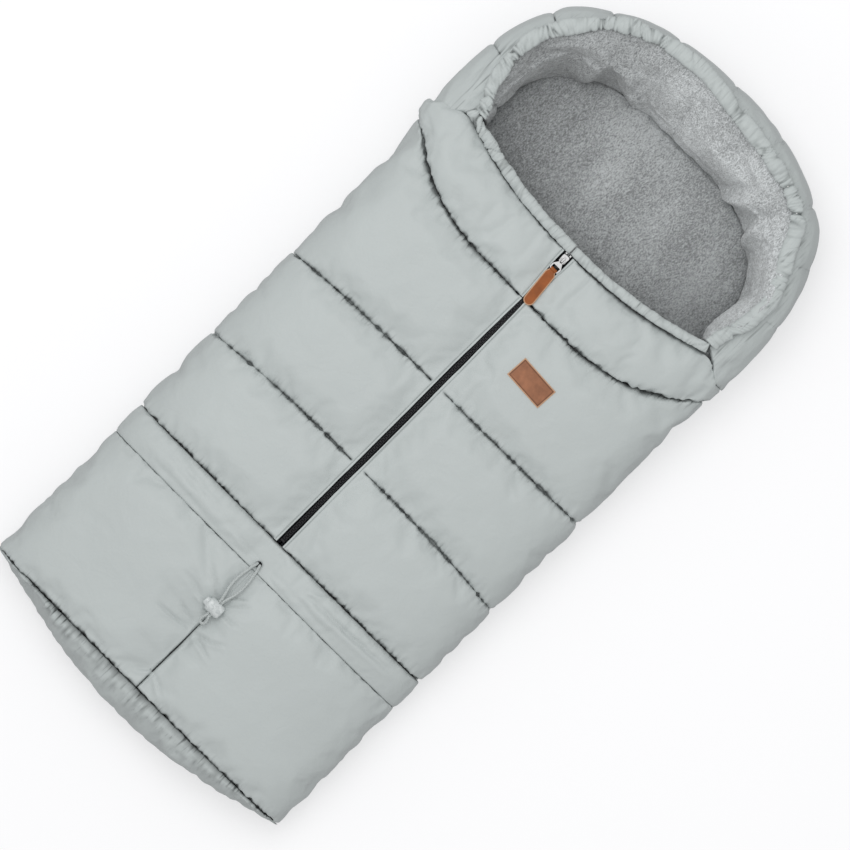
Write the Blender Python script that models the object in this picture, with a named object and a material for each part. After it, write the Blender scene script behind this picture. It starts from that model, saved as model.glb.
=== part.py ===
"""Quilted footmuff lying on its back, closed, with the head end towards +Y.

Lengths are in metres. X runs across, Y runs from the foot to the head, Z is up.
"""

import math

import bmesh
import bpy
from mathutils import Matrix, Vector

# Clearances
GAP = 0.0003
SOFT_GAP = 0.0006

# Plan of the bag
BODY_HALF_WIDTH = 0.2335
FOOT_HALF_WIDTH = 0.234
HOOD_HALF_WIDTH = 0.2370
HEAD_Y = 0.5200
GUSSET_Y = -0.484
GUSSET_BULGE = 0.037
GUSSET_LIP = 0.006
GUSSET_PUCKER = 0.0012
GUSSET_INNER_HEIGHT = 0.85
GUSSET_INNER_WIDTH = 0.985
HOOD_CENTRE_Y = 0.280
HOOD_SQUARENESS = 2.6
HIP_REACH = 0.250
SHOULDER_REACH = 0.090

# Heights
BACK_THICKNESS = 0.022
LINING_THICKNESS = 0.004
TOP_Z = 0.098
FOOT_DROP = 0.010
RIM_Z = 0.108
FOOT_SQUARENESS = 2.8
CHEST_SQUARENESS = 4.6

# Quilting
QUILT_THICKNESS = 0.014
QUILT_CROWN = 0.008
FOOT_CROWN = 0.007
COLLAR_CROWN = 0.0085
HOOD_CROWN = 0.006
BAND_CROWN = 0.003
BAND_DIP = 0.0015
BAND_FLAT = 0.013
BAND_FLAT_REACH = 0.030
BAND_WRINKLES = 190.0
ZIP_EDGE_THICKNESS = 0.003
CHANNEL_SHAPE = 2.6
EDGE_REACH = 0.040
SIDE_REACH_DEGREES = 26.0

# Seams across the front
FOLD_Y = -0.287
BAND_Y = -0.244
SEAM_LOW_Y = -0.113
SEAM_HIGH_Y = 0.020
COLLAR_Y = 0.165
COLLAR_SIDE_Y = 0.235
HEM_Y = 0.2400
HEM_SIDE_Y = 0.2740

# Zip
ZIP_BOTTOM_Y = -0.236
ZIP_OPENING = 0.0055
HEM_OPENING = 0.0105
TAPE_INNER = 0.0010
TAPE_WIDTH = 0.0130
TAPE_THICKNESS = 0.0006
TOOTH_PITCH = 0.0052
TOOTH_REACH = 0.0012
TOOTH_SPINE = 0.0018
TOOTH_HEIGHT = 0.0020
SLIDER_Y = 0.232
SLIDER_LENGTH = 0.0110
SLIDER_HALF_WIDTH = 0.0047
SLIDER_PLATE = 0.0009
SLIDER_BRIDGE = 0.0011
SLIDER_FLANGE = 0.0007
BRIDGE_BACK = (-0.0038, -0.0022)
BRIDGE_FRONT = (0.0014, 0.0030)
BRIDGE_THICKNESS = 0.0010
STOP_LENGTH = 0.0030
STOP_INSIDE = 0.0008
STOP_OUTSIDE = 0.0034
STOP_BEVEL = 0.0003

# Puller and leather tab
PULLER_LENGTH = 0.0180
PULLER_WIDTH = 0.0136
PULLER_NECK = 0.0058
PULLER_BAR = 0.0020
EYE_LENGTH = 0.0052
PULLER_THICKNESS = 0.0014
PIN_RADIUS = 0.0008
TAB_LENGTH = 0.0520
TAB_WIDTH = 0.0140
TAB_THICKNESS = 0.0020
TAB_TURN = 6.0
TAB_NECK = 0.0044
TAB_LOOP_WALL = 0.0009
TAB_SHOULDER = 0.0045
TAB_DROP = 0.0006

# Fold lines of the two front flaps
FLAP_FOOT_Y = -0.235
FLAP_HEAD_X = 0.205
FLAP_HEAD_Y = 0.280
FLAP_AXIS_Z = 0.1080
FOLD_MITRE = 42.0

# Gathered hems
HEM_HALF_WIDTH = 0.0070
HEM_HALF_HEIGHT = 0.0045
HEM_WALL = 0.0016
HEM_GATHER = 0.0008
HEM_END = 0.0220
HOOD_HEM_HALF_WIDTH = 0.0095
ELASTIC_RADIUS = 0.0018

# Drawcord and its lock
EYELET_Y = -0.278
EYELET_RADIUS = 0.0052
EYELET_HOLE = 0.0038
EYELET_HEIGHT = 0.0012
EYELET_LIFT = 0.0008
EYELET_DEPTH = 0.0040
EYELET_WALL = 0.0005
CORD_RADIUS = 0.00125
LOCK_Y = -0.351
LOCK_RADIUS = 0.0088
LOCK_LENGTH = 0.0210
LOCK_WALL = 0.0016
LOCK_END_WALL = 0.0022
LOCK_HOLE = 0.0068
BUTTON_SHOW = 0.0055
BUTTON_SEAT = 0.0012
BUTTON_TRAVEL = 0.0020
LOCK_SIDES = 18
SPRING_RADIUS = 0.0034
SPRING_WIRE = 0.00025
SPRING_TURNS = 3

# Leather patch
PATCH_X = 0.076
PATCH_Y = 0.101
PATCH_LENGTH = 0.054
PATCH_WIDTH = 0.029
PATCH_THICKNESS = 0.0016
PATCH_TURN = -3.5
PATCH_LIFT = 0.0010

SIDES = (("left", -1.0), ("right", 1.0))


def clear_scene():
    for item in list(bpy.data.objects):
        bpy.data.objects.remove(item, do_unlink=True)


def make_material(name, colour, roughness, metallic=0.0):
    material = bpy.data.materials.new(name)
    material.use_nodes = True
    shader = material.node_tree.nodes["Principled BSDF"]
    shader.inputs["Base Color"].default_value = (*colour, 1.0)
    shader.inputs["Roughness"].default_value = roughness
    shader.inputs["Metallic"].default_value = metallic
    return material


def finish(name, mesh_data, material, origin=None):
    """Turn a bmesh into a named object with its origin where it moves about."""
    bmesh.ops.remove_doubles(mesh_data, verts=mesh_data.verts, dist=0.00001)
    bmesh.ops.dissolve_degenerate(mesh_data, dist=0.00001, edges=mesh_data.edges)
    bmesh.ops.recalc_face_normals(mesh_data, faces=mesh_data.faces)
    place = Vector(origin) if origin else Vector((0.0, 0.0, 0.0))
    bmesh.ops.translate(mesh_data, verts=mesh_data.verts, vec=-place)
    mesh = bpy.data.meshes.new(name)
    mesh_data.to_mesh(mesh)
    mesh_data.free()
    mesh.materials.append(material)
    item = bpy.data.objects.new(name, mesh)
    item.location = place
    bpy.context.scene.collection.objects.link(item)
    return item


def smooth_step(value):
    value = min(1.0, max(0.0, value))
    return value * value * (3.0 - 2.0 * value)


def blend(low, high, share):
    return low + (high - low) * share


def channel(share, shape=CHANNEL_SHAPE):
    """Crown of one quilted channel: nothing at its seams and one in its middle."""
    return max(0.0, 1.0 - abs(2.0 * share - 1.0) ** shape)


# Shape of the front


def half_width(y):
    body = blend(FOOT_HALF_WIDTH, BODY_HALF_WIDTH, smooth_step((y - GUSSET_Y) / HIP_REACH))
    return blend(body, HOOD_HALF_WIDTH, smooth_step((y - COLLAR_Y) / SHOULDER_REACH))


def rise(y):
    drop = FOOT_DROP * smooth_step((BAND_Y - y) / (BAND_Y - GUSSET_Y))
    return TOP_Z - drop - front_base()


def squareness(y):
    return blend(FOOT_SQUARENESS, CHEST_SQUARENESS, smooth_step((y - BAND_Y) / (HEM_Y - BAND_Y)))


def front_base():
    return BACK_THICKNESS + GAP


def front_point(angle, y, depth, side):
    """Point of the arched front, at a depth below its drawn-in skin."""
    power = squareness(y)
    across = math.cos(angle)
    up = math.sin(angle)
    reach = (abs(across) ** power + abs(up) ** power) ** (-1.0 / power)
    x = side * (half_width(y) - depth) * reach * across
    z = front_base() + (rise(y) - depth) * reach * up
    return Vector((x, y, z))


def angle_at(x, y):
    """Section angle at which the skin stands x from the middle."""
    power = squareness(y)
    ratio = max(1.0, half_width(y) / max(x, 0.00001))
    return math.atan((ratio ** power - 1.0) ** (1.0 / power))


SECTION_ANGLES = (0, 12, 24, 33, 40, 46, 53, 61, 70, 77)
ZIP_PAD_X = 0.036
ZIP_LIP_X = 0.022
NEAR_ZIP = (ZIP_PAD_X, ZIP_LIP_X, TAPE_INNER + TAPE_WIDTH + GAP)
COLUMN_CLEARANCE = 0.0005
ROW_GUESS_X = 0.1


def section_columns(y, edge):
    angles = [math.radians(angle) for angle in SECTION_ANGLES]
    for x in NEAR_ZIP:
        if x > edge + COLUMN_CLEARANCE:
            angles.append(angle_at(x, y))
    angles.append(angle_at(edge, y))
    return angles


def collar_seam(x):
    return COLLAR_Y + (COLLAR_SIDE_Y - COLLAR_Y) * (abs(x) / HOOD_HALF_WIDTH) ** 4.0


def hem_seam(x):
    return HEM_Y + (HEM_SIDE_Y - HEM_Y) * (abs(x) / FLAP_HEAD_X) ** 2.2


def zip_edge(y):
    return ZIP_OPENING


def collar_edge(y):
    """The collar halves part a little towards the hem."""
    share = min(1.0, max(0.0, (y - COLLAR_Y) / (HEM_Y - COLLAR_Y)))
    return blend(ZIP_OPENING, HEM_OPENING, share)


def lining_edge(y):
    return NEAR_ZIP[2]


def middle_edge(y):
    return GAP * 0.5


def across_of(angle, y):
    return abs(front_point(angle, y, 0.0, 1.0).x)


def slab(outer, inner):
    """Closed solid between two grids of points with the same rows and columns."""
    data = bmesh.new()
    grids = []
    for grid in (outer, inner):
        grids.append([[data.verts.new(point) for point in row] for row in grid])
    rows = len(outer)
    columns = len(outer[0])
    for grid in grids:
        for row in range(rows - 1):
            for column in range(columns - 1):
                corners = (
                    grid[row][column],
                    grid[row][column + 1],
                    grid[row + 1][column + 1],
                    grid[row + 1][column],
                )
                data.faces.new(corners)
    top, under = grids
    for row in range(rows - 1):
        for column in (0, columns - 1):
            data.faces.new(
                (top[row][column], top[row + 1][column], under[row + 1][column], under[row][column])
            )
    for column in range(columns - 1):
        for row in (0, rows - 1):
            data.faces.new(
                (top[row][column], top[row][column + 1], under[row][column + 1], under[row][column])
            )
    bmesh.ops.recalc_face_normals(data, faces=data.faces)
    return data


def cut_away(data, point, normal):
    """Remove what lies beyond a plane and close the cut."""
    parts = list(data.verts) + list(data.edges) + list(data.faces)
    result = bmesh.ops.bisect_plane(
        data, geom=parts, dist=0.000001, plane_co=point, plane_no=normal, clear_outer=True
    )
    edges = [part for part in result["geom_cut"] if isinstance(part, bmesh.types.BMEdge)]
    open_edges = [edge for edge in edges if edge.is_valid and len(edge.link_faces) == 1]
    if open_edges:
        bmesh.ops.triangle_fill(data, edges=open_edges, use_beauty=True)
    return data


def fold_direction(side):
    line = Vector((side * FLAP_HEAD_X, FLAP_HEAD_Y - FLAP_FOOT_Y, 0.0))
    return line.normalized()


def fold_normal(side):
    """Across the fold line, towards the outside of the bag."""
    line = fold_direction(side)
    return Vector((side * line.y, -side * line.x, 0.0))


def fold_cut(side):
    """Mitred plane through the fold's axis, which keeps deep layers clear as the flap turns."""
    tilt = math.radians(FOLD_MITRE)
    towards_flap = Vector((0.0, 0.0, math.sin(tilt))) - fold_normal(side) * math.cos(tilt)
    return flap_origin(), towards_flap


def flap_origin():
    return Vector((0.0, FLAP_FOOT_Y, FLAP_AXIS_Z))


def split_at_fold(name, data, side, material):
    """Part a front layer at its flap's fold line into a side and a flap."""
    axis_point, towards_flap = fold_cut(side)
    other = data.copy()
    cut_away(data, axis_point - towards_flap * GAP * 0.5, towards_flap)
    cut_away(other, axis_point + towards_flap * GAP * 0.5, -towards_flap)
    finish(name + "_side", data, material)
    finish(name + "_flap", other, material, origin=flap_origin())


def layer_rows(low, high, seams, shares):
    """Rows for a layer whose channels end at the given seams."""
    stops = [low] + list(seams) + [high]
    rows = []
    for index in range(len(stops) - 1):
        steps = shares[index] if isinstance(shares[0], tuple) else shares
        for share in steps[:-1]:
            rows.append((stops[index], stops[index + 1], share))
    rows.append((stops[-2], stops[-1], 1.0))
    return rows


ROW_SHARES = (0.0, 0.07, 0.22, 0.5, 0.78, 0.93, 1.0)
PLAIN_SHARES = (0.0, 0.5, 1.0)


def front_layer(side, low, high, seams, edge, crown, thick, shares=ROW_SHARES, start=0.0):
    """Two grids of a padded layer of the front, from the side seam to an inner edge.

    low and high are functions of x, seams are the stitched rows between them.
    start is the depth of the layer's outer face.
    """
    outer = []
    inner = []
    for first, last, share in layer_rows(low, high, seams, shares):
        outer_row = []
        inner_row = []
        guess = blend(first(ROW_GUESS_X), last(ROW_GUESS_X), share)
        angles = section_columns(guess, edge(guess))
        for angle in angles:
            x = across_of(angle, guess)
            y = blend(first(x), last(x), share)
            if angle is angles[-1]:
                angle = angle_at(edge(y), y)
            from_edge = smooth_step((x - edge(y)) / EDGE_REACH)
            from_side = smooth_step(math.degrees(angle) / SIDE_REACH_DEGREES)
            puff = crown * channel(share) * from_edge * from_side
            depth = thick
            if start == 0.0 and x < ZIP_PAD_X - COLUMN_CLEARANCE:
                lip = smooth_step((x - NEAR_ZIP[2]) / (ZIP_PAD_X - NEAR_ZIP[2]))
                depth = blend(ZIP_EDGE_THICKNESS, thick, lip)
            outer_row.append(front_point(angle, y, start - puff, side))
            inner_row.append(front_point(angle, y, start + depth, side))
        outer.append(outer_row)
        inner.append(inner_row)
    return outer, inner


def at(value, shift=0.0):
    return lambda x: value + shift


def seam_under_collar(x):
    return collar_seam(x) - GAP * 0.5


def seam_over_collar(x):
    return collar_seam(x) + GAP * 0.5


def seam_under_hem(x):
    return min(hem_seam(x), HOOD_CENTRE_Y) - GAP


def make_front(fabric, lining):
    for word, side in SIDES:
        outer, inner = front_layer(
            side,
            at(BAND_Y, GAP * 0.5),
            seam_under_collar,
            (at(SEAM_LOW_Y), at(SEAM_HIGH_Y)),
            zip_edge,
            QUILT_CROWN,
            QUILT_THICKNESS,
        )
        split_at_fold("front_" + word, slab(outer, inner), side, fabric)
        outer, inner = front_layer(
            side,
            seam_over_collar,
            seam_under_hem,
            (),
            collar_edge,
            COLLAR_CROWN,
            QUILT_THICKNESS,
        )
        split_at_fold("collar_" + word, slab(outer, inner), side, fabric)
        outer, inner = front_layer(
            side,
            at(BAND_Y, GAP * 0.5),
            seam_under_hem,
            (at(SEAM_LOW_Y), at(SEAM_HIGH_Y), seam_over_collar),
            lining_edge,
            0.0,
            LINING_THICKNESS,
            shares=(PLAIN_SHARES, PLAIN_SHARES, ROW_SHARES, ROW_SHARES),
            start=QUILT_THICKNESS + SOFT_GAP,
        )
        split_at_fold("front_lining_" + word, slab(outer, inner), side, lining)


FOOT_SHARES = (0.0, 0.05, 0.17, 0.34, 0.50, 0.66, 0.83, 0.95, 1.0)
FOOT_ROWS = (0.0, 0.17, 0.34, 0.5, 0.66, 0.83, 1.0)


def make_foot(fabric, lining):
    for word, side in SIDES:
        outer, inner = front_layer(
            side,
            at(GUSSET_Y, GAP * 0.5),
            at(FOLD_Y, -GAP * 0.5),
            (),
            middle_edge,
            FOOT_CROWN,
            QUILT_THICKNESS,
            shares=FOOT_SHARES,
        )
        data = slab(outer, inner)
        finish("foot_" + word, data, fabric)
    grid = full_width_layer(GUSSET_Y + GAP * 0.5, BAND_Y - GAP * 0.5, FOOT_ROWS, 0.0, 0.0)
    depth = QUILT_THICKNESS + SOFT_GAP
    outer = [[sink(point, depth) for point in row] for row in grid]
    inner = [[sink(point, depth + LINING_THICKNESS) for point in row] for row in grid]
    finish("foot_lining", slab(outer, inner), lining)


def full_width_layer(low, high, shares, crown, dip):
    """Rows of (angle, y, puff, side) across the whole front, which may dip in the middle."""
    grid = []
    for share in shares:
        y = blend(low, high, share)
        angles = section_columns(y, GAP * 0.5)
        row = []
        for side in (-1.0, 1.0):
            half = []
            for angle in angles:
                x = across_of(angle, y)
                wrinkle = 1.0 + 0.25 * math.sin(x * BAND_WRINKLES + side * 0.7 + 6.0 * share)
                from_side = smooth_step(math.degrees(angle) / SIDE_REACH_DEGREES)
                from_middle = smooth_step((x - BAND_FLAT) / BAND_FLAT_REACH)
                puff = crown * wrinkle * from_side * from_middle * channel(share, 2.0)
                sunk = dip * (1.0 - from_middle) * dip_share(share)
                half.append((angle, y, puff - sunk, side))
            if side > 0.0:
                half.reverse()
            row.extend(half)
        grid.append(row)
    return grid


def dip_share(share):
    """The dip starts at the fold and stays open towards the foot of the zip."""
    return 1.0 if share > 0.5 else channel(share, 2.0)


def sink(point, depth):
    angle, y, puff, side = point
    return front_point(angle, y, depth - puff, side)


def make_band(fabric):
    """Casing of the drawcord, with the hole that its two ends leave by."""
    shares = (0.0, 0.12, 0.35, 0.65, 0.88, 1.0)
    low = FOLD_Y + GAP * 0.5
    grid = full_width_layer(low, BAND_Y - GAP * 0.5, shares, BAND_CROWN, BAND_DIP)
    outer = [[sink(point, 0.0) for point in row] for row in grid]
    inner = [[sink((p[0], p[1], 0.0, p[3]), QUILT_THICKNESS) for p in row] for row in grid]
    band = finish("cord_casing", slab(outer, inner), fabric)
    cutter = cylinder("eyelet_cutter", EYELET_HOLE + EYELET_WALL + GAP, EYELET_DEPTH * 3.0, 16)
    cutter.location = (0.0, EYELET_Y, eyelet_z())
    cut_with(band, cutter)
    return band


def cylinder(name, radius, length, sides):
    data = bmesh.new()
    bmesh.ops.create_cone(
        data, cap_ends=True, segments=sides, radius1=radius, radius2=radius, depth=length
    )
    mesh = bpy.data.meshes.new(name)
    data.to_mesh(mesh)
    data.free()
    item = bpy.data.objects.new(name, mesh)
    bpy.context.scene.collection.objects.link(item)
    return item


def cut_with(item, cutter, operation="DIFFERENCE"):
    """Boolean that is applied at once, so that the cutter can go."""
    modifier = item.modifiers.new("cut", "BOOLEAN")
    modifier.operation = operation
    modifier.solver = "EXACT"
    modifier.object = cutter
    bpy.context.view_layer.update()
    graph = bpy.context.evaluated_depsgraph_get()
    mesh = bpy.data.meshes.new_from_object(item.evaluated_get(graph))
    item.modifiers.clear()
    old = item.data
    item.data = mesh
    bpy.data.meshes.remove(old)
    bpy.data.objects.remove(cutter, do_unlink=True)
    return item


def eyelet_z():
    """Height of the casing's skin at the eyelet, in the dip."""
    share = (EYELET_Y - FOLD_Y) / (BAND_Y - FOLD_Y)
    return front_point(math.pi / 2.0, EYELET_Y, BAND_DIP * dip_share(share), 1.0).z


def eyelet_top():
    return eyelet_z() + EYELET_LIFT + EYELET_HEIGHT


def make_gusset(fabric):
    """Bulged end wall below the gathered seam of the foot."""
    steps = (0.0, 0.12, 0.3, 0.5, 0.7, 0.88, 1.0)
    angles = [math.radians(a) for a in (4, 14, 24, 33, 40, 46, 53, 61, 70, 78, 86)]
    outer = []
    inner = []
    for step in steps:
        outer_row = []
        inner_row = []
        row = [(-1.0, a) for a in angles] + [(1.0, a) for a in reversed(angles)]
        for index, (side, angle) in enumerate(row):
            top = front_point(angle, GUSSET_Y, 0.0, side)
            arc = 1.0 - (abs(top.x) / FOOT_HALF_WIDTH) ** 2.0
            lean = math.sin(step * math.pi / 2.0) ** 0.9
            pucker = GUSSET_PUCKER * math.cos(index * math.pi) * channel(step * 0.5)
            z = blend(top.z, front_base(), step)
            reach = (GUSSET_BULGE - GUSSET_LIP) * arc - pucker
            y = GUSSET_Y - GUSSET_LIP - reach * lean
            low = blend(blend(front_base(), top.z, GUSSET_INNER_HEIGHT), front_base(), step)
            thickness = blend(GUSSET_LIP, QUILT_THICKNESS, step)
            back = min(GUSSET_Y - GAP * 0.5, y + thickness)
            outer_row.append(Vector((top.x, y, z)))
            inner_row.append(Vector((top.x * GUSSET_INNER_WIDTH, back, low)))
        outer.append(outer_row)
        inner.append(inner_row)
    data = slab(outer, inner)
    finish("foot_gusset", data, fabric)


# Back


def outline_point(angle, inset=0.0):
    """Outline of the head end about the hood's centre, as a rounded square."""
    across = math.cos(angle)
    along = math.sin(angle)
    power = HOOD_SQUARENESS
    reach = (abs(across) ** power + abs(along) ** power) ** (-1.0 / power)
    x = (HOOD_HALF_WIDTH - inset) * reach * across
    y = HOOD_CENTRE_Y + (HEAD_Y - HOOD_CENTRE_Y - inset) * reach * along
    return Vector((x, y, 0.0))


SIDE_SHARES = (0.033, 0.059, 0.098, 0.15, 0.366, 0.686, 0.895)


def back_outline(inset, arc_steps=20, foot_steps=10):
    points = []
    for index in range(arc_steps + 1):
        points.append(outline_point(math.pi * index / arc_steps, inset))
    stations = [blend(HOOD_CENTRE_Y, GUSSET_Y, share) for share in SIDE_SHARES]
    for y in stations:
        points.append(Vector((-(half_width(y) - inset), y, 0.0)))
    for index in range(foot_steps + 1):
        x = -(FOOT_HALF_WIDTH - inset) * math.cos(math.pi * index / foot_steps)
        bulge = GUSSET_BULGE * (1.0 - (abs(x) / FOOT_HALF_WIDTH) ** 2.0)
        points.append(Vector((x, GUSSET_Y - bulge + inset, 0.0)))
    for y in reversed(stations):
        points.append(Vector((half_width(y) - inset, y, 0.0)))
    return points


def stack(rings):
    """Solid from rings of equal length, closed flat at both ends."""
    data = bmesh.new()
    loops = [[data.verts.new(point) for point in ring] for ring in rings]
    count = len(rings[0])
    for low, high in zip(loops, loops[1:]):
        for index in range(count):
            following = (index + 1) % count
            data.faces.new((low[index], low[following], high[following], high[index]))
    data.faces.new(list(reversed(loops[0])))
    data.faces.new(loops[-1])
    return data


BACK_PROFILE = ((0.45, 0.0), (0.09, 0.18), (0.0, 0.5), (0.07, 0.82), (0.27, 1.0))


def make_back(fabric, lining):
    rings = []
    for inset, share in BACK_PROFILE:
        lift = Vector((0.0, 0.0, BACK_THICKNESS * share))
        rings.append([point + lift for point in back_outline(inset * BACK_THICKNESS)])
    finish("back_shell", stack(rings), fabric)
    rings = []
    for inset, share in ((0.0, 0.0), (0.0, 0.75), (0.75, 1.0)):
        lift = Vector((0.0, 0.0, front_base() + LINING_THICKNESS * share))
        rings.append([point + lift for point in lining_outline(inset * LINING_THICKNESS)])
    finish("back_lining", stack(rings), lining)


def lining_outline(inset):
    """Outline of the fleece on the back, inside every wall that stands on it."""
    side = BODY_HALF_WIDTH - QUILT_THICKNESS - LINING_THICKNESS - SOFT_GAP - GAP - inset
    points = []
    power = FLOOR_SQUARENESS
    for index in range(17):
        angle = math.pi * index / 16.0
        across = math.cos(angle)
        along = math.sin(angle)
        reach = (abs(across) ** power + abs(along) ** power) ** (-1.0 / power)
        x = (hood_floor_half() - inset) * reach * across
        y = HOOD_CENTRE_Y + (hood_floor_head() - HOOD_CENTRE_Y - inset) * reach * along
        points.append(Vector((x, y, 0.0)))
    foot = GUSSET_Y + LINING_THICKNESS + inset
    head = HEM_Y - BACK_THICKNESS
    for x, y in ((-side, head), (-side, foot), (side, foot), (side, head)):
        points.append(Vector((x, y, 0.0)))
    return points


# Hood

HOOD_SEAMS = (0.0, 17.0, 34.5, 50.5, 70.0, 90.0, 110.0, 129.5, 145.5, 163.0, 180.0)
HOOD_SHARES = (0.0, 0.12, 0.5, 0.88)
HOOD_FLOOR_SIDE = 0.044
HOOD_FLOOR_HEAD = 0.088
FLOOR_SQUARENESS = 2.3
RIM_INSET = 0.026
RIM_SHIFT_X = 0.008
RIM_REVEAL = 0.0035
LINING_FOLDS = ((24.0, 11.0), (50.0, 9.0), (74.0, 13.0), (104.0, 12.0), (131.0, 10.0), (156.0, 12.0))
LINING_FOLD_DEPTH = 0.007
LINING_FOLD_PROFILE = (0.0, 0.6, 1.0, 0.7, 0.3, 0.0)


def hood_floor_half():
    return HOOD_HALF_WIDTH - HOOD_FLOOR_SIDE - LINING_THICKNESS - SOFT_GAP - GAP


def hood_floor_head():
    return HEAD_Y - HOOD_FLOOR_HEAD - LINING_THICKNESS - SOFT_GAP - GAP


def hood_stations():
    stations = []
    for low, high in zip(HOOD_SEAMS, HOOD_SEAMS[1:]):
        for share in HOOD_SHARES:
            stations.append((blend(low, high, share), channel(share)))
    stations.append((HOOD_SEAMS[-1], 0.0))
    return stations


def lining_fold(degrees):
    """Share of a fold's depth at a place round the hood."""
    deepest = 0.0
    for middle, reach in LINING_FOLDS:
        across = min(1.0, abs(degrees - middle) / reach)
        deepest = max(deepest, (1.0 - across ** 2.0) ** 2.0)
    return deepest


def hood_frame(degrees):
    """Outline point at the foot of the hood wall, and the way to its inside."""
    angle = math.radians(degrees)
    foot = outline_point(angle)
    centre = Vector((0.0, HOOD_CENTRE_Y, 0.0))
    inward = (centre - foot).normalized()
    return foot, inward


def floor_width(degrees):
    head_share = smooth_step(math.sin(math.radians(degrees)) ** 1.5)
    return blend(HOOD_FLOOR_SIDE, HOOD_FLOOR_HEAD, head_share)


def hood_place(degrees, inset, z):
    foot, inward = hood_frame(degrees)
    lift = smooth_step((z - front_base()) / (RIM_Z - front_base()))
    shift = Vector((RIM_SHIFT_X * lift * math.sin(math.radians(degrees)) ** 0.5, 0.0, 0.0))
    point = foot + inward * inset + shift
    return Vector((point.x, point.y, z))


def make_hood(fabric, lining):
    base = front_base()
    top = RIM_Z - HEM_HALF_HEIGHT - GAP
    wall_rings = []
    lining_rings = []
    for degrees, puff in hood_stations():
        degrees = min(179.98, max(0.02, degrees))
        floor = floor_width(degrees)
        crown = HOOD_CROWN * puff
        height = top - base
        outside = (
            (0.004, 0.0),
            (0.0015 - crown * 0.2, 0.14),
            (0.001 - crown * 0.7, 0.34),
            (0.003 - crown, 0.58),
            (0.008 - crown * 0.9, 0.80),
            (RIM_INSET - 0.012 - crown * 0.4, 0.95),
            (RIM_INSET - 0.004, 1.0),
        )
        rim = RIM_INSET + RIM_REVEAL
        inside = (
            (rim, 1.0),
            (blend(rim, floor, 0.26), 0.90),
            (blend(rim, floor, 0.54), 0.70),
            (blend(rim, floor, 0.78), 0.42),
            (blend(rim, floor, 0.94), 0.15),
            (floor, 0.0),
        )
        ring = [hood_place(degrees, inset, base + height * up) for inset, up in outside + inside]
        wall_rings.append(ring)
        skin = []
        slip = SOFT_GAP
        far = SOFT_GAP + LINING_THICKNESS
        for inset, up in inside:
            skin.append(hood_place(degrees, inset + slip, base + height * up))
        fold = LINING_FOLD_DEPTH * lining_fold(degrees)
        for (inset, up), share in reversed(list(zip(inside, LINING_FOLD_PROFILE))):
            skin.append(hood_place(degrees, inset + far + fold * share, base + height * up))
        lining_rings.append(skin)
    finish("hood_wall", stack(wall_rings), fabric)
    finish("hood_lining", stack(lining_rings), lining)


# Gathered hems


def tube_between(path, wide, high, wall, ripple, sides=8):
    """Rings of a gathered casing and of the channel inside it."""
    outer = []
    inner = []
    for index, (centre, across) in enumerate(path):
        gather = ripple * (1.0 if index % 2 else -1.0)
        ring = []
        hole = []
        for step in range(sides):
            turn = 2.0 * math.pi * step / sides
            way = across * math.cos(turn)
            up = Vector((0.0, 0.0, math.sin(turn)))
            ring.append(centre + way * (wide + gather) + up * (high + gather * 0.5))
            hole.append(centre + way * (wide - wall - ripple) + up * (high - wall - ripple * 0.5))
        outer.append(ring)
        inner.append(hole)
    return outer, inner


def hollow(outer, inner):
    """Closed tube wall with a ring of faces at each open end."""
    data = bmesh.new()
    skins = []
    for rings in (outer, inner):
        loops = [[data.verts.new(point) for point in ring] for ring in rings]
        count = len(loops[0])
        for low, high in zip(loops, loops[1:]):
            for index in range(count):
                following = (index + 1) % count
                data.faces.new((low[index], low[following], high[following], high[index]))
        skins.append(loops)
    count = len(skins[0][0])
    for end in (0, -1):
        for index in range(count):
            following = (index + 1) % count
            data.faces.new(
                (
                    skins[0][end][index],
                    skins[0][end][following],
                    skins[1][end][following],
                    skins[1][end][index],
                )
            )
    return data


def hem_path(side, steps=18):
    """Centre line of the hem from the zip to the hood's corner."""
    path = []
    start = HEM_OPENING
    end = FLAP_HEAD_X - HEM_END
    for index in range(steps + 1):
        x = blend(start, end, index / steps)
        ahead = x + 0.001
        here = Vector((side * x, hem_seam(x) + HEM_HALF_WIDTH + HEM_GATHER, 0.0))
        there = Vector((side * ahead, hem_seam(ahead) + HEM_HALF_WIDTH + HEM_GATHER, 0.0))
        along = (there - here).normalized()
        across = Vector((-along.y, along.x, 0.0))
        path.append((Vector((here.x, here.y, hem_z())), across))
    return path


def hem_z():
    return TOP_Z + 0.001


def hood_hem_path(steps=48):
    path = []
    for index in range(steps + 1):
        degrees = blend(2.5, 177.5, index / steps)
        point = hood_place(degrees, RIM_INSET, RIM_Z + GAP)
        foot, inward = hood_frame(degrees)
        path.append((point, inward))
    return path


def cord_solid(points, radius, sides=6):
    """Round cord along a polyline, as rings that face the way the line runs."""
    rings = []
    for index, point in enumerate(points):
        before = points[max(0, index - 1)]
        after = points[min(len(points) - 1, index + 1)]
        along = (after - before).normalized()
        guide = Vector((0.0, 0.0, 1.0))
        if abs(along.z) > 0.9:
            guide = Vector((1.0, 0.0, 0.0))
        across = along.cross(guide).normalized()
        up = across.cross(along).normalized()
        ring = []
        for step in range(sides):
            turn = 2.0 * math.pi * step / sides
            ring.append(point + across * radius * math.cos(turn) + up * radius * math.sin(turn))
        rings.append(ring)
    return rings


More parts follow.
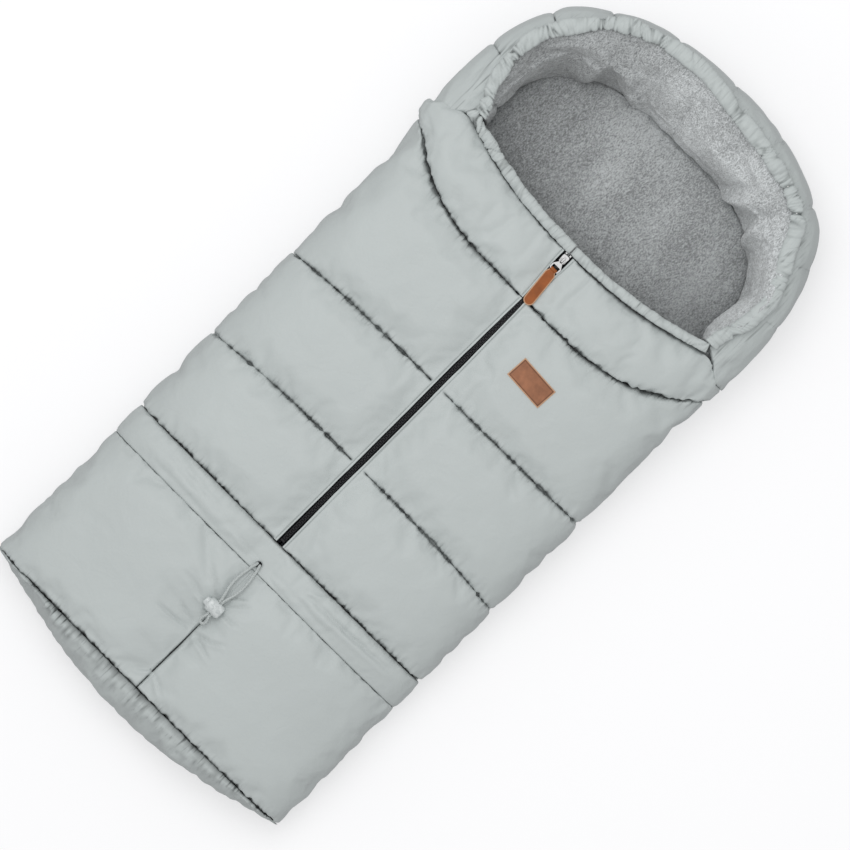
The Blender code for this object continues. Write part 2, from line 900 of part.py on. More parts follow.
def make_hems(fabric, elastic):
    for word, side in SIDES:
        outer, inner = tube_between(
            hem_path(side), HEM_HALF_WIDTH, HEM_HALF_HEIGHT, HEM_WALL, HEM_GATHER
        )
        finish("hem_" + word, hollow(outer, inner), fabric, origin=flap_origin())
    path = hood_hem_path()
    outer, inner = tube_between(
        path, HOOD_HEM_HALF_WIDTH, HEM_HALF_HEIGHT, HEM_WALL, HEM_GATHER
    )
    finish("hood_hem", hollow(outer, inner), fabric)
    line = [centre for centre, across in path[1:-1:3]]
    data = stack(cord_solid(line, ELASTIC_RADIUS))
    finish("hood_elastic", data, elastic)


# Zip


def zip_z():
    """Height of the middle of the teeth."""
    tape_top = TOP_Z - ZIP_EDGE_THICKNESS - SOFT_GAP
    return tape_top + GAP + TOOTH_HEIGHT * 0.5


def box(low, high):
    data = bmesh.new()
    bmesh.ops.create_cube(data, size=1.0)
    size = Vector(high) - Vector(low)
    middle = (Vector(high) + Vector(low)) * 0.5
    bmesh.ops.scale(data, verts=data.verts, vec=size)
    bmesh.ops.translate(data, verts=data.verts, vec=middle)
    return data


def extrude_outline(points, low, high):
    """Prism from an outline in plan between two heights."""
    data = bmesh.new()
    bottom = [data.verts.new((x, y, low)) for x, y in points]
    top = [data.verts.new((x, y, high)) for x, y in points]
    data.faces.new(list(reversed(bottom)))
    data.faces.new(top)
    count = len(points)
    for index in range(count):
        following = (index + 1) % count
        data.faces.new((bottom[index], bottom[following], top[following], top[index]))
    return data


def tooth_row(side, low, high):
    """Outline of one row of teeth that reach past the middle between their mates."""
    mate = 0.5 if side > 0.0 else 0.0
    outer = side * (TOOTH_REACH + TOOTH_SPINE)
    root = side * TOOTH_REACH
    tip = -side * (TOOTH_REACH - GAP)
    points = [(outer, low), (outer, high)]
    back = []
    y = low + TOOTH_PITCH * (0.25 + mate)
    half_tip = TOOTH_PITCH * 0.25 - GAP * 0.6
    half_root = TOOTH_PITCH * 0.25 - GAP * 0.5
    while y + half_root < high:
        back.extend(
            [(root, y - half_root), (tip, y - half_tip), (tip, y + half_tip), (root, y + half_root)]
        )
        y += TOOTH_PITCH
    back.insert(0, (root, low))
    back.append((root, high))
    points.extend(reversed(back))
    return points


def make_zip(tape_cloth, coil, metal):
    middle = zip_z()
    tape_top = middle - TOOTH_HEIGHT * 0.5 - GAP
    tape_head = HEM_Y + 0.0015
    for word, side in SIDES:
        near = side * TAPE_INNER
        far = side * (TAPE_INNER + TAPE_WIDTH)
        low = (min(near, far), BAND_Y + 0.001, tape_top - TAPE_THICKNESS)
        high = (max(near, far), tape_head, tape_top)
        finish("zip_tape_" + word, box(low, high), tape_cloth, origin=flap_origin())
        outline = tooth_row(side, ZIP_BOTTOM_Y, SLIDER_Y)
        data = extrude_outline(outline, middle - TOOTH_HEIGHT * 0.5, middle + TOOTH_HEIGHT * 0.5)
        finish("zip_teeth_" + word, data, coil, origin=flap_origin())
        stop_low = SLIDER_Y + SLIDER_LENGTH * 0.5 + GAP
        inside = side * (TAPE_INNER + STOP_INSIDE)
        outside = side * (TAPE_INNER + STOP_OUTSIDE)
        data = box(
            (min(inside, outside), stop_low, tape_top + GAP),
            (max(inside, outside), stop_low + STOP_LENGTH, tape_top + GAP + TOOTH_HEIGHT),
        )
        bmesh.ops.bevel(
            data, geom=data.edges[:], offset=STOP_BEVEL, segments=1, profile=0.5, affect="EDGES"
        )
        finish("zip_top_stop_" + word, data, metal, origin=flap_origin())
    reach = TOOTH_REACH + TOOTH_SPINE
    data = box(
        (-reach, ZIP_BOTTOM_Y - GAP - STOP_LENGTH, tape_top + GAP),
        (reach, ZIP_BOTTOM_Y - GAP, tape_top + GAP + TOOTH_HEIGHT),
    )
    bmesh.ops.bevel(
        data, geom=data.edges[:], offset=STOP_BEVEL, segments=1, profile=0.5, affect="EDGES"
    )
    finish("zip_bottom_stop", data, coil)


def slider_outline(grow=0.0):
    """Plan of a slider: two throats at the head end, one at the foot end."""
    half = SLIDER_LENGTH * 0.5
    wide = SLIDER_HALF_WIDTH + grow
    narrow = SLIDER_HALF_WIDTH * 0.86 + grow
    points = [
        (-narrow * 0.9, -half),
        (narrow * 0.9, -half),
        (narrow, -half + 0.0012),
        (wide, half - 0.0030),
        (wide * 0.92, half - 0.0008),
        (wide * 0.55, half),
        (-wide * 0.55, half),
        (-wide * 0.92, half - 0.0008),
        (-wide, half - 0.0030),
        (-narrow, -half + 0.0012),
    ]
    return points


def slider_levels():
    middle = zip_z()
    tape_under = middle - TOOTH_HEIGHT * 0.5 - GAP - TAPE_THICKNESS
    under_top = tape_under - GAP
    over_low = middle + TOOTH_HEIGHT * 0.5 + GAP
    return under_top, over_low


def pivot_place():
    under_top, over_low = slider_levels()
    return Vector((0.0, SLIDER_Y - 0.0010, over_low + SLIDER_PLATE + 0.0017))


def make_slider(metal):
    """Body of the slider, its two plates joined by a wedge, with flanges and a bridge."""
    under_top, over_low = slider_levels()
    base = Vector((0.0, SLIDER_Y, 0.0))
    item = None
    under = extrude_outline(slider_outline(), under_top - SLIDER_PLATE, under_top)
    over = extrude_outline(slider_outline(), over_low, over_low + SLIDER_PLATE)
    wedge_half = TAPE_INNER - GAP
    half = SLIDER_LENGTH * 0.5
    wedge = box(
        (-wedge_half, GAP * 2.0, under_top - SLIDER_PLATE * 0.5),
        (wedge_half, half - 0.0004, over_low + SLIDER_PLATE * 0.5),
    )
    tape_top = zip_z() - TOOTH_HEIGHT * 0.5 - GAP
    pieces = [under, over, wedge]
    for side in (-1.0, 1.0):
        outside = side * (SLIDER_HALF_WIDTH * 0.86)
        inside = outside - side * SLIDER_FLANGE
        pieces.append(
            box(
                (min(outside, inside), -half + 0.0012, tape_top + GAP),
                (max(outside, inside), half - 0.0032, over_low + SLIDER_PLATE * 0.5),
            )
        )
    pivot = pivot_place()
    plate_top = over_low + SLIDER_PLATE
    under_bridge = pivot.z + PIN_RADIUS + SOFT_GAP * 0.5
    pivot_y = pivot.y - SLIDER_Y
    for low, high in (BRIDGE_BACK, BRIDGE_FRONT):
        pieces.append(
            box(
                (-SLIDER_BRIDGE, pivot_y + low, plate_top - SLIDER_PLATE * 0.5),
                (SLIDER_BRIDGE, pivot_y + high, under_bridge + BRIDGE_THICKNESS * 0.5),
            )
        )
    pieces.append(
        box(
            (-SLIDER_BRIDGE, pivot_y + BRIDGE_BACK[0], under_bridge),
            (SLIDER_BRIDGE, pivot_y + BRIDGE_FRONT[1], under_bridge + BRIDGE_THICKNESS),
        )
    )
    for index, piece in enumerate(pieces):
        bmesh.ops.translate(piece, verts=piece.verts, vec=base)
        made = finish("slider_piece_%d" % index, piece, metal)
        item = made if item is None else cut_with(item, made, "UNION")
    item.name = "slider_body"
    item.data.name = "slider_body"
    move_origin(item, Vector((0.0, SLIDER_Y, zip_z())))
    return item


def move_origin(item, place):
    item.data.transform(Matrix.Translation(item.location - place))
    item.location = place


def make_puller(metal, leather):
    """Flat metal puller on a round pin, and the leather tab on its end bar."""
    pivot = pivot_place()
    half = PULLER_WIDTH * 0.5
    neck = PULLER_NECK * 0.5
    pin_half = SLIDER_BRIDGE + GAP
    length = PULLER_LENGTH
    frame_low = pivot.z - PULLER_THICKNESS * 0.5
    frame_high = pivot.z + PULLER_THICKNESS * 0.5
    outline = [
        (-neck, 0.0),
        (-neck, -EYE_LENGTH),
        (-half, -length * 0.62),
        (-half, -length + 0.0016),
        (-half + 0.0016, -length),
        (half - 0.0016, -length),
        (half, -length + 0.0016),
        (half, -length * 0.62),
        (neck, -EYE_LENGTH),
        (neck, 0.0),
        (neck - PIN_RADIUS, PIN_RADIUS),
        (-neck + PIN_RADIUS, PIN_RADIUS),
    ]
    data = extrude_outline([(x + pivot.x, y + pivot.y) for x, y in outline], frame_low, frame_high)
    puller = finish("zip_puller", data, metal)
    eye = box(
        (-pin_half, pivot.y - EYE_LENGTH, frame_low - 0.002),
        (pin_half, pivot.y - PIN_RADIUS, frame_high + 0.002),
    )
    cut_with(puller, finish("eye_cutter", eye, metal))
    slot = box(
        (-half + PULLER_BAR, pivot.y - length + PULLER_BAR, frame_low - 0.002),
        (half - PULLER_BAR, pivot.y - length * 0.62, frame_high + 0.002),
    )
    cut_with(puller, finish("slot_cutter", slot, metal))
    move_origin(puller, pivot)
    make_tab(leather)
    return puller


def tab_pivot():
    pivot = pivot_place()
    return Vector((0.0, pivot.y - PULLER_LENGTH + PULLER_BAR * 0.5, pivot.z))


def make_tab(leather):
    """Leather tab whose neck loops round the puller's end bar."""
    place = tab_pivot()
    bore = math.hypot(PULLER_BAR * 0.5, PULLER_THICKNESS * 0.5) + GAP
    rim = bore + TAB_LOOP_WALL
    sides = 18
    data = bmesh.new()
    rings = []
    for x, radius in ((-TAB_NECK, bore), (-TAB_NECK, rim), (TAB_NECK, rim), (TAB_NECK, bore)):
        ring = []
        for step in range(sides):
            turn = 2.0 * math.pi * step / sides
            ring.append(data.verts.new((x, radius * math.cos(turn), radius * math.sin(turn))))
        rings.append(ring)
    for index in range(4):
        near = rings[index]
        far = rings[(index + 1) % 4]
        for step in range(sides):
            following = (step + 1) % sides
            data.faces.new((near[step], near[following], far[following], far[step]))
    bmesh.ops.translate(data, verts=data.verts, vec=place)
    loop = finish("tab_loop_blank", data, leather)
    wide = TAB_WIDTH * 0.5
    shoulder = -(bore + TAB_LOOP_WALL * 0.4)
    end = -TAB_LENGTH + wide
    blade = [(-TAB_NECK, shoulder), (TAB_NECK, shoulder), (wide, shoulder - TAB_SHOULDER)]
    for index in range(13):
        turn = -math.pi * index / 12.0
        blade.append((wide * math.cos(turn), end + wide * math.sin(turn)))
    blade.append((-wide, shoulder - TAB_SHOULDER))
    outline = []
    for x, y in blade:
        share = smooth_step((shoulder - y) / TAB_SHOULDER)
        angle = math.radians(TAB_TURN) * share
        along = y - shoulder
        outline.append(
            (
                place.x + x * math.cos(angle) - along * math.sin(angle),
                place.y + shoulder + x * math.sin(angle) + along * math.cos(angle),
            )
        )
    low = place.z - TAB_DROP
    blade_item = finish("leather_tab", extrude_outline(outline, low, low + TAB_THICKNESS), leather)
    cut_with(blade_item, loop, "UNION")
    move_origin(blade_item, place)
    return blade_item


# Drawcord, lock and patch


def lock_centre():
    top = front_point(math.pi / 2.0, LOCK_Y, -foot_puff(LOCK_Y), 1.0).z
    return Vector((0.0, LOCK_Y, top + LOCK_RADIUS + GAP))


def foot_puff(y):
    share = (y - GUSSET_Y) / (FOLD_Y - GUSSET_Y)
    return FOOT_CROWN * channel(share) * smooth_step(LOCK_LENGTH * 0.5 / EDGE_REACH)


def revolve_x(profile, sides):
    """Solid of revolution about the X axis from (x, radius) points."""
    rings = []
    for x, radius in profile:
        ring = []
        for step in range(sides):
            turn = 2.0 * math.pi * step / sides
            ring.append(Vector((x, radius * math.cos(turn), radius * math.sin(turn))))
        rings.append(ring)
    return rings


def cord_hole(centre, travel):
    """Cutter across the lock, lengthened so that the cord stays clear as the button moves."""
    hole = cylinder("cord_cutter", LOCK_HOLE * 0.5, LOCK_RADIUS * 4.0, 16)
    hole.data.transform(Matrix.Diagonal((1.0 + travel / LOCK_HOLE, 1.0, 1.0, 1.0)))
    hole.rotation_euler = (math.pi / 2.0, 0.0, 0.0)
    hole.location = centre - Vector((travel * 0.5, 0.0, 0.0))
    return hole


def make_lock(plastic, spring_steel):
    """Barrel, push button and spring of the cord lock, on an axis along X."""
    centre = lock_centre()
    half = LOCK_LENGTH * 0.5
    bore = LOCK_RADIUS - LOCK_WALL
    outside = (
        (-half, LOCK_RADIUS * 0.86),
        (-half + 0.0014, LOCK_RADIUS),
        (half - 0.0040, LOCK_RADIUS),
        (half - 0.0012, LOCK_RADIUS * 0.84),
        (half, LOCK_RADIUS * 0.55),
    )
    inside = (
        (half - LOCK_END_WALL, bore * 0.60),
        (half - LOCK_END_WALL, bore),
        (-half, bore),
    )
    rings = revolve_x(outside + inside, LOCK_SIDES)
    data = bmesh.new()
    loops = [[data.verts.new(point) for point in ring] for ring in rings]
    order = list(range(len(loops)))
    for low, high in zip(order, order[1:]):
        if low == len(outside) - 1:
            continue
        for index in range(LOCK_SIDES):
            following = (index + 1) % LOCK_SIDES
            data.faces.new(
                (loops[low][index], loops[low][following], loops[high][following], loops[high][index])
            )
    data.faces.new(loops[len(outside) - 1])
    data.faces.new(list(reversed(loops[len(outside)])))
    for index in range(LOCK_SIDES):
        following = (index + 1) % LOCK_SIDES
        data.faces.new(
            (loops[0][index], loops[0][following], loops[-1][following], loops[-1][index])
        )
    bmesh.ops.translate(data, verts=data.verts, vec=centre)
    barrel = finish("lock_barrel", data, plastic)
    cut_with(barrel, cord_hole(centre, 0.0))
    move_origin(barrel, centre)
    stem = bore - GAP
    head = -half - BUTTON_SHOW
    seat = LOCK_HOLE * 0.5 + BUTTON_SEAT
    spigot = SPRING_RADIUS - SPRING_WIRE - GAP
    profile = (
        (head, stem * 0.50),
        (head + 0.0008, stem * 0.70),
        (head + 0.0022, stem * 0.78),
        (-half - 0.0008, stem * 0.80),
        (-half - 0.0002, stem),
        (seat, stem),
        (seat, spigot),
        (seat + 0.0010, spigot * 0.8),
    )
    data = stack(revolve_x(profile, LOCK_SIDES))
    bmesh.ops.translate(data, verts=data.verts, vec=centre)
    button = finish("lock_button", data, plastic)
    cut_with(button, cord_hole(centre, BUTTON_TRAVEL))
    move_origin(button, centre)
    spring_low = seat + SPRING_WIRE + GAP
    spring_high = half - LOCK_END_WALL - SPRING_WIRE - GAP
    points = []
    count = SPRING_TURNS * 9
    for index in range(count + 1):
        share = index / count
        turn = 2.0 * math.pi * SPRING_TURNS * share
        x = blend(spring_low, spring_high, share)
        points.append(centre + Vector((x, SPRING_RADIUS * math.cos(turn), SPRING_RADIUS * math.sin(turn))))
    rings = cord_solid_x(points, SPRING_WIRE)
    finish("lock_spring", stack(rings), spring_steel)


def cord_solid_x(points, radius, sides=5):
    """Wire of a coil about X, whose rings never meet a vertical guide."""
    rings = []
    for index, point in enumerate(points):
        before = points[max(0, index - 1)]
        after = points[min(len(points) - 1, index + 1)]
        along = (after - before).normalized()
        across = along.cross(Vector((1.0, 0.0, 0.0))).normalized()
        up = across.cross(along).normalized()
        ring = []
        for step in range(sides):
            turn = 2.0 * math.pi * step / sides
            ring.append(point + across * radius * math.cos(turn) + up * radius * math.sin(turn))
        rings.append(ring)
    return rings


def drawcord_points():
    """One cord: out of the eyelet, through the lock, round its end and back."""
    lock = lock_centre()
    eye = Vector((0.0, EYELET_Y, eyelet_z()))
    apart = CORD_RADIUS + 0.00035
    half = []
    over = eyelet_top() + CORD_RADIUS + SOFT_GAP
    half.append(Vector((apart + 0.0003, eye.y, eye.z - EYELET_DEPTH - GAP)))
    half.append(Vector((apart + 0.0003, eye.y, over - 0.0030)))
    half.append(Vector((apart + 0.0004, eye.y - 0.0004, over - 0.0008)))
    half.append(Vector((apart + 0.0007, eye.y - 0.0020, over + 0.0004)))
    half.append(Vector((apart + 0.0013, eye.y - 0.0044, over + 0.0004)))
    start = Vector((apart + 0.0022, eye.y - 0.0072, over))
    half.append(start)
    end = Vector((apart, lock.y + LOCK_RADIUS + 0.0030, lock.z))
    count = 12
    for index in range(1, count + 1):
        share = index / count
        bow = 0.0065 * math.sin(math.pi * share) ** 1.2
        height = blend(start.z, end.z, smooth_step(share))
        half.append(Vector((blend(start.x, end.x, share) + bow, blend(start.y, end.y, share), height)))
    for step in (0.0, -1.0):
        half.append(Vector((apart, lock.y + step * (LOCK_RADIUS + 0.0030), lock.z)))
    tail_y = lock.y - LOCK_RADIUS - 0.0030
    half.append(Vector((apart + 0.0004, tail_y - 0.0035, lock.z - 0.0008)))
    half.append(Vector((apart + 0.0008, tail_y - 0.0065, lock.z - 0.0018)))
    half.append(Vector((apart + 0.0003, tail_y - 0.0088, lock.z - 0.0024)))
    tip = Vector((0.0, tail_y - 0.0102, lock.z - 0.0027))
    other = [Vector((-point.x, point.y, point.z)) for point in reversed(half)]
    return half + [tip] + other


def make_drawcord(cord_cloth, metal):
    curve = bpy.data.curves.new("drawcord", "CURVE")
    curve.dimensions = "3D"
    curve.bevel_depth = CORD_RADIUS
    curve.bevel_resolution = 2
    curve.use_fill_caps = True
    points = drawcord_points()
    line = curve.splines.new("POLY")
    line.points.add(len(points) - 1)
    for spot, point in zip(line.points, points):
        spot.co = (*point, 1.0)
    curve.materials.append(cord_cloth)
    item = bpy.data.objects.new("drawcord", curve)
    bpy.context.scene.collection.objects.link(item)
    ring = []
    flange = EYELET_RADIUS
    hole = EYELET_HOLE
    base = eyelet_top() - EYELET_HEIGHT
    profile = (
        (hole, -EYELET_DEPTH),
        (hole + EYELET_WALL, -EYELET_DEPTH),
        (hole + EYELET_WALL, 0.0),
        (flange, 0.0),
        (flange - 0.0003, EYELET_HEIGHT * 0.7),
        (blend(hole, flange, 0.5), EYELET_HEIGHT),
        (hole, EYELET_HEIGHT * 0.6),
    )
    data = bmesh.new()
    sides = 16
    for step in range(sides):
        turn = 2.0 * math.pi * step / sides
        ring.append(
            [
                data.verts.new(
                    (radius * math.cos(turn), EYELET_Y + radius * math.sin(turn), base + up)
                )
                for radius, up in profile
            ]
        )
    for step in range(sides):
        here = ring[step]
        there = ring[(step + 1) % sides]
        for index in range(len(profile)):
            following = (index + 1) % len(profile)
            data.faces.new((here[index], there[index], there[following], here[following]))
    finish("cord_eyelet", data, metal)
    return item


def front_skin_z(x, y, crown, low, high, edge):
    """Height of a quilted channel's skin at a point of the plan."""
    angle = angle_at(abs(x), y)
    share = (y - low) / (high - low)
    puff = crown * channel(share) * smooth_step((abs(x) - edge) / EDGE_REACH)
    return front_point(angle, y, -puff, 1.0).z


def make_patch(leather):
    """Leather patch that follows the crown of the channel it is sewn on."""
    turn = math.radians(PATCH_TURN)
    rows = 7
    columns = 9
    top = []
    under = []
    radius = 0.002
    for row in range(rows):
        top_row = []
        under_row = []
        for column in range(columns):
            u = (column / (columns - 1) - 0.5) * PATCH_LENGTH
            v = (row / (rows - 1) - 0.5) * PATCH_WIDTH
            if row in (0, rows - 1) and column in (0, columns - 1):
                u -= math.copysign(radius * 0.3, u)
                v -= math.copysign(radius * 0.3, v)
            x = PATCH_X + u * math.cos(turn) - v * math.sin(turn)
            y = PATCH_Y + u * math.sin(turn) + v * math.cos(turn)
            high = collar_seam(x)
            z = front_skin_z(x, y, QUILT_CROWN, SEAM_HIGH_Y, high, ZIP_OPENING) + PATCH_LIFT
            edge_row = row in (0, rows - 1) or column in (0, columns - 1)
            lip = 0.0 if not edge_row else -0.0003
            top_row.append(Vector((x, y, z + PATCH_THICKNESS + lip)))
            under_row.append(Vector((x, y, z)))
        top.append(top_row)
        under.append(under_row)
    data = slab(top, under)
    finish("leather_patch", data, leather, origin=flap_origin())


def main():
    clear_scene()
    fabric = make_material("quilt_fabric", (0.48, 0.52, 0.51), 0.55)
    fleece = make_material("fleece", (0.46, 0.48, 0.48), 0.95)
    tape_cloth = make_material("zip_tape", (0.015, 0.016, 0.02), 0.8)
    coil = make_material("zip_teeth", (0.02, 0.02, 0.025), 0.35)
    metal = make_material("zip_metal", (0.62, 0.62, 0.62), 0.3, 1.0)
    leather = make_material("leather", (0.36, 0.13, 0.045), 0.5)
    cord_cloth = make_material("cord", (0.45, 0.49, 0.48), 0.8)
    plastic = make_material("lock_plastic", (0.72, 0.75, 0.75), 0.3)
    steel = make_material("spring_steel", (0.6, 0.6, 0.6), 0.35, 1.0)
    elastic = make_material("elastic", (0.75, 0.75, 0.74), 0.8)
    make_back(fabric, fleece)
    make_front(fabric, fleece)
    make_foot(fabric, fleece)
    make_band(fabric)
    make_gusset(fabric)
    make_hood(fabric, fleece)
    make_hems(fabric, elastic)
    make_zip(tape_cloth, coil, metal)
    make_slider(metal)
    make_puller(metal, leather)
    make_lock(plastic, steel)
    make_drawcord(cord_cloth, metal)
    make_patch(leather)


main()
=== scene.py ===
import math

import bmesh
import bpy
import numpy as np
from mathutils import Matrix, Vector, noise
from mathutils.bvhtree import BVHTree


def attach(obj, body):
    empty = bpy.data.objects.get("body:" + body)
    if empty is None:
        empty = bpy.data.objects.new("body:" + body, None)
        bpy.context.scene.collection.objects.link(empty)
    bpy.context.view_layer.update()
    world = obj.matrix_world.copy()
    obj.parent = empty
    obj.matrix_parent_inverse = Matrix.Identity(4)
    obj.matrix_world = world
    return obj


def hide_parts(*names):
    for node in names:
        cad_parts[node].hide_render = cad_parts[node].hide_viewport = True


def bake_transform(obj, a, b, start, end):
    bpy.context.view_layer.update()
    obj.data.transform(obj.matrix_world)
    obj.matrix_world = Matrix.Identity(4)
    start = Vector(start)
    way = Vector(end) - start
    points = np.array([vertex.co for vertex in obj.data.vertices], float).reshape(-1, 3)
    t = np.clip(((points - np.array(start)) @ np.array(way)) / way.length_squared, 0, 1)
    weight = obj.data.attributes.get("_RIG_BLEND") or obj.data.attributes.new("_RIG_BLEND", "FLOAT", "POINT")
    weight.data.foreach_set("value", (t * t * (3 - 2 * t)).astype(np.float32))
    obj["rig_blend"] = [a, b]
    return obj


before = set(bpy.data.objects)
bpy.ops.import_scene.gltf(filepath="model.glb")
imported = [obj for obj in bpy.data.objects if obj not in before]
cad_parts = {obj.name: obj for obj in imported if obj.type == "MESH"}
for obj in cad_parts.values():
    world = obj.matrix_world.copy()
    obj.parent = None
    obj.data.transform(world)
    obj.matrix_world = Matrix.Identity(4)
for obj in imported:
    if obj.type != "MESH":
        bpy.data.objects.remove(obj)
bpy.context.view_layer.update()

# the bag's driving sizes, as the model has them
bag = {
    "bodyHalf": 0.2335, "footHalf": 0.2340, "hoodHalf": 0.2370,
    "headY": 0.5200, "hoodY": 0.280, "gussetY": -0.484, "bulge": 0.037,
    "hipReach": 0.250, "shoulderReach": 0.090,
    "backThick": 0.022, "liningThick": 0.004, "quiltThick": 0.014,
    "topZ": 0.098, "footDrop": 0.010, "rimZ": 0.108, "gap": 0.0003,
    "foldY": -0.287, "bandY": -0.244, "seamLowY": -0.113, "seamHighY": 0.020,
    "collarY": 0.165, "collarSideY": 0.235, "hemY": 0.240, "hemSideY": 0.274,
    "flapFootY": -0.235, "flapHeadX": 0.205, "flapHeadY": 0.280,
}


def smoothStep(value):
    value = min(1.0, max(0.0, value))
    return value * value * (3.0 - 2.0 * value)


def mixed(low, high, share):
    return low + (high - low) * share


def channel(share, shape=2.6):
    return max(0.0, 1.0 - abs(2.0 * share - 1.0) ** shape)


def rough(x, y, z=0.0):
    return noise.noise(Vector((x, y, z)))


def squarish(across, up, power):
    # how far a rounded square reaches in a direction, against a circle
    return (abs(across) ** power + abs(up) ** power) ** (-1.0 / power)


# Camera and light

view = {"middle": (0.0222, -0.0227), "height": 8.0, "lens": 283.4, "turn": 45.0}


def makeView():
    camera = bpy.data.objects.new("camera", bpy.data.cameras.new("camera"))
    bpy.context.scene.collection.objects.link(camera)
    camera.location = (*view["middle"], view["height"])
    camera.rotation_euler = (0.0, 0.0, math.radians(view["turn"]))
    camera.data.lens = view["lens"]
    camera.data.sensor_width = 36.0
    bpy.context.scene.camera = camera
    bpy.context.scene.view_settings.view_transform = "Standard"


light = {"place": (-0.75, 0.45, 2.45), "power": 22.5, "size": 1.7, "sky": 0.76, "floorGlow": 0.53}


def makeLight():
    lamp = bpy.data.lights.new("key light", "AREA")
    lamp.energy = light["power"]
    lamp.size = light["size"]
    item = bpy.data.objects.new("key light", lamp)
    bpy.context.scene.collection.objects.link(item)
    item.location = light["place"]
    item.rotation_euler = (-item.location).to_track_quat("-Z", "Y").to_euler()
    world = bpy.data.worlds.new("studio")
    bpy.context.scene.world = world
    world.use_nodes = True
    sky = world.node_tree.nodes["Background"]
    sky.inputs["Color"].default_value = (1.0, 1.0, 1.0, 1.0)
    sky.inputs["Strength"].default_value = light["sky"]


makeView()
makeLight()
print("camera and light")

# Materials


class Value:
    # what runs through a material's nodes, so that sums on it read as sums
    def __init__(self, tree, socket):
        self.tree = tree
        self.socket = socket

    def maths(self, operation, first, second):
        node = self.tree.nodes.new("ShaderNodeMath")
        node.operation = operation
        for slot, part in enumerate((first, second)):
            if isinstance(part, Value):
                self.tree.links.new(part.socket, node.inputs[slot])
            else:
                node.inputs[slot].default_value = part
        return Value(self.tree, node.outputs[0])

    def __add__(self, other):
        return self.maths("ADD", self, other)

    def __radd__(self, other):
        return self.maths("ADD", other, self)

    def __sub__(self, other):
        return self.maths("SUBTRACT", self, other)

    def __rsub__(self, other):
        return self.maths("SUBTRACT", other, self)

    def __mul__(self, other):
        return self.maths("MULTIPLY", self, other)

    def __rmul__(self, other):
        return self.maths("MULTIPLY", other, self)

    def __pow__(self, other):
        return self.maths("POWER", self, other)

    def __abs__(self):
        return self.maths("ABSOLUTE", self, 0.0)


class Finish:
    # one material: its shader, and the nodes that vary it
    def __init__(self, name, colour, roughness, fixed=None):
        self.material = bpy.data.materials.new(name)
        self.material.use_nodes = True
        self.tree = self.material.node_tree
        self.shader = self.tree.nodes["Principled BSDF"]
        self.feed("Base Color", (*colour, 1.0))
        self.feed("Roughness", roughness)
        for socket, value in (fixed or {}).items():
            self.feed(socket, value)
        self.lastBump = None

    def feed(self, socket, value):
        self.join(self.shader.inputs[socket], value)

    def join(self, socket, value):
        if isinstance(value, Value):
            self.tree.links.new(value.socket, socket)
        else:
            socket.default_value = value

    def node(self, kind, settings, sockets, output=0):
        node = self.tree.nodes.new(kind)
        for name, value in settings.items():
            setattr(node, name, value)
        for name, value in sockets.items():
            self.join(node.inputs[name], value)
        return Value(self.tree, node.outputs[output])

    def place(self, stretch=(1.0, 1.0, 1.0), turn=0.0):
        start = self.node("ShaderNodeTexCoord", {}, {}, "Object")
        turned = (0.0, 0.0, math.radians(turn))
        return self.node("ShaderNodeMapping", {}, {"Vector": start, "Rotation": turned, "Scale": stretch})

    def clouds(self, where, scale, detail=2.0, roughness=0.5, distortion=0.0):
        sockets = {"Vector": where, "Scale": scale, "Detail": detail, "Roughness": roughness}
        sockets["Distortion"] = distortion
        return self.node("ShaderNodeTexNoise", {}, sockets)

    def cells(self, where, scale):
        return self.node("ShaderNodeTexVoronoi", {"feature": "F1"}, {"Vector": where, "Scale": scale})

    def painted(self, name):
        # a value that the mesh carries, from 0 to 1
        return self.node("ShaderNodeAttribute", {"attribute_name": name}, {}, "Fac")

    def tint(self, share, low, high):
        low = low if isinstance(low, Value) else (*low, 1.0)
        sockets = {0: share, 6: low, 7: (*high, 1.0)}
        return self.node("ShaderNodeMix", {"data_type": "RGBA"}, sockets, 2)

    def bump(self, height, distance, strength):
        sockets = {"Height": height, "Distance": distance, "Strength": strength}
        if self.lastBump:
            sockets["Normal"] = self.lastBump
        self.lastBump = self.node("ShaderNodeBump", {}, sockets)
        self.feed("Normal", self.lastBump)


def shaded(colour, amount):
    return tuple(min(1.0, part * amount) for part in colour)


# seamShadeColour is the colour of the painted shade in the seams and gathers
fabricLook = {
    "colour": (0.466, 0.503, 0.499), "roughness": 0.50, "crumple": 0.0019, "pucker": 0.0026,
    "grain": 0.00008, "seamShadeColour": (0.035, 0.042, 0.042), "folds": 0.0013, "puckers": 0.0028,
}


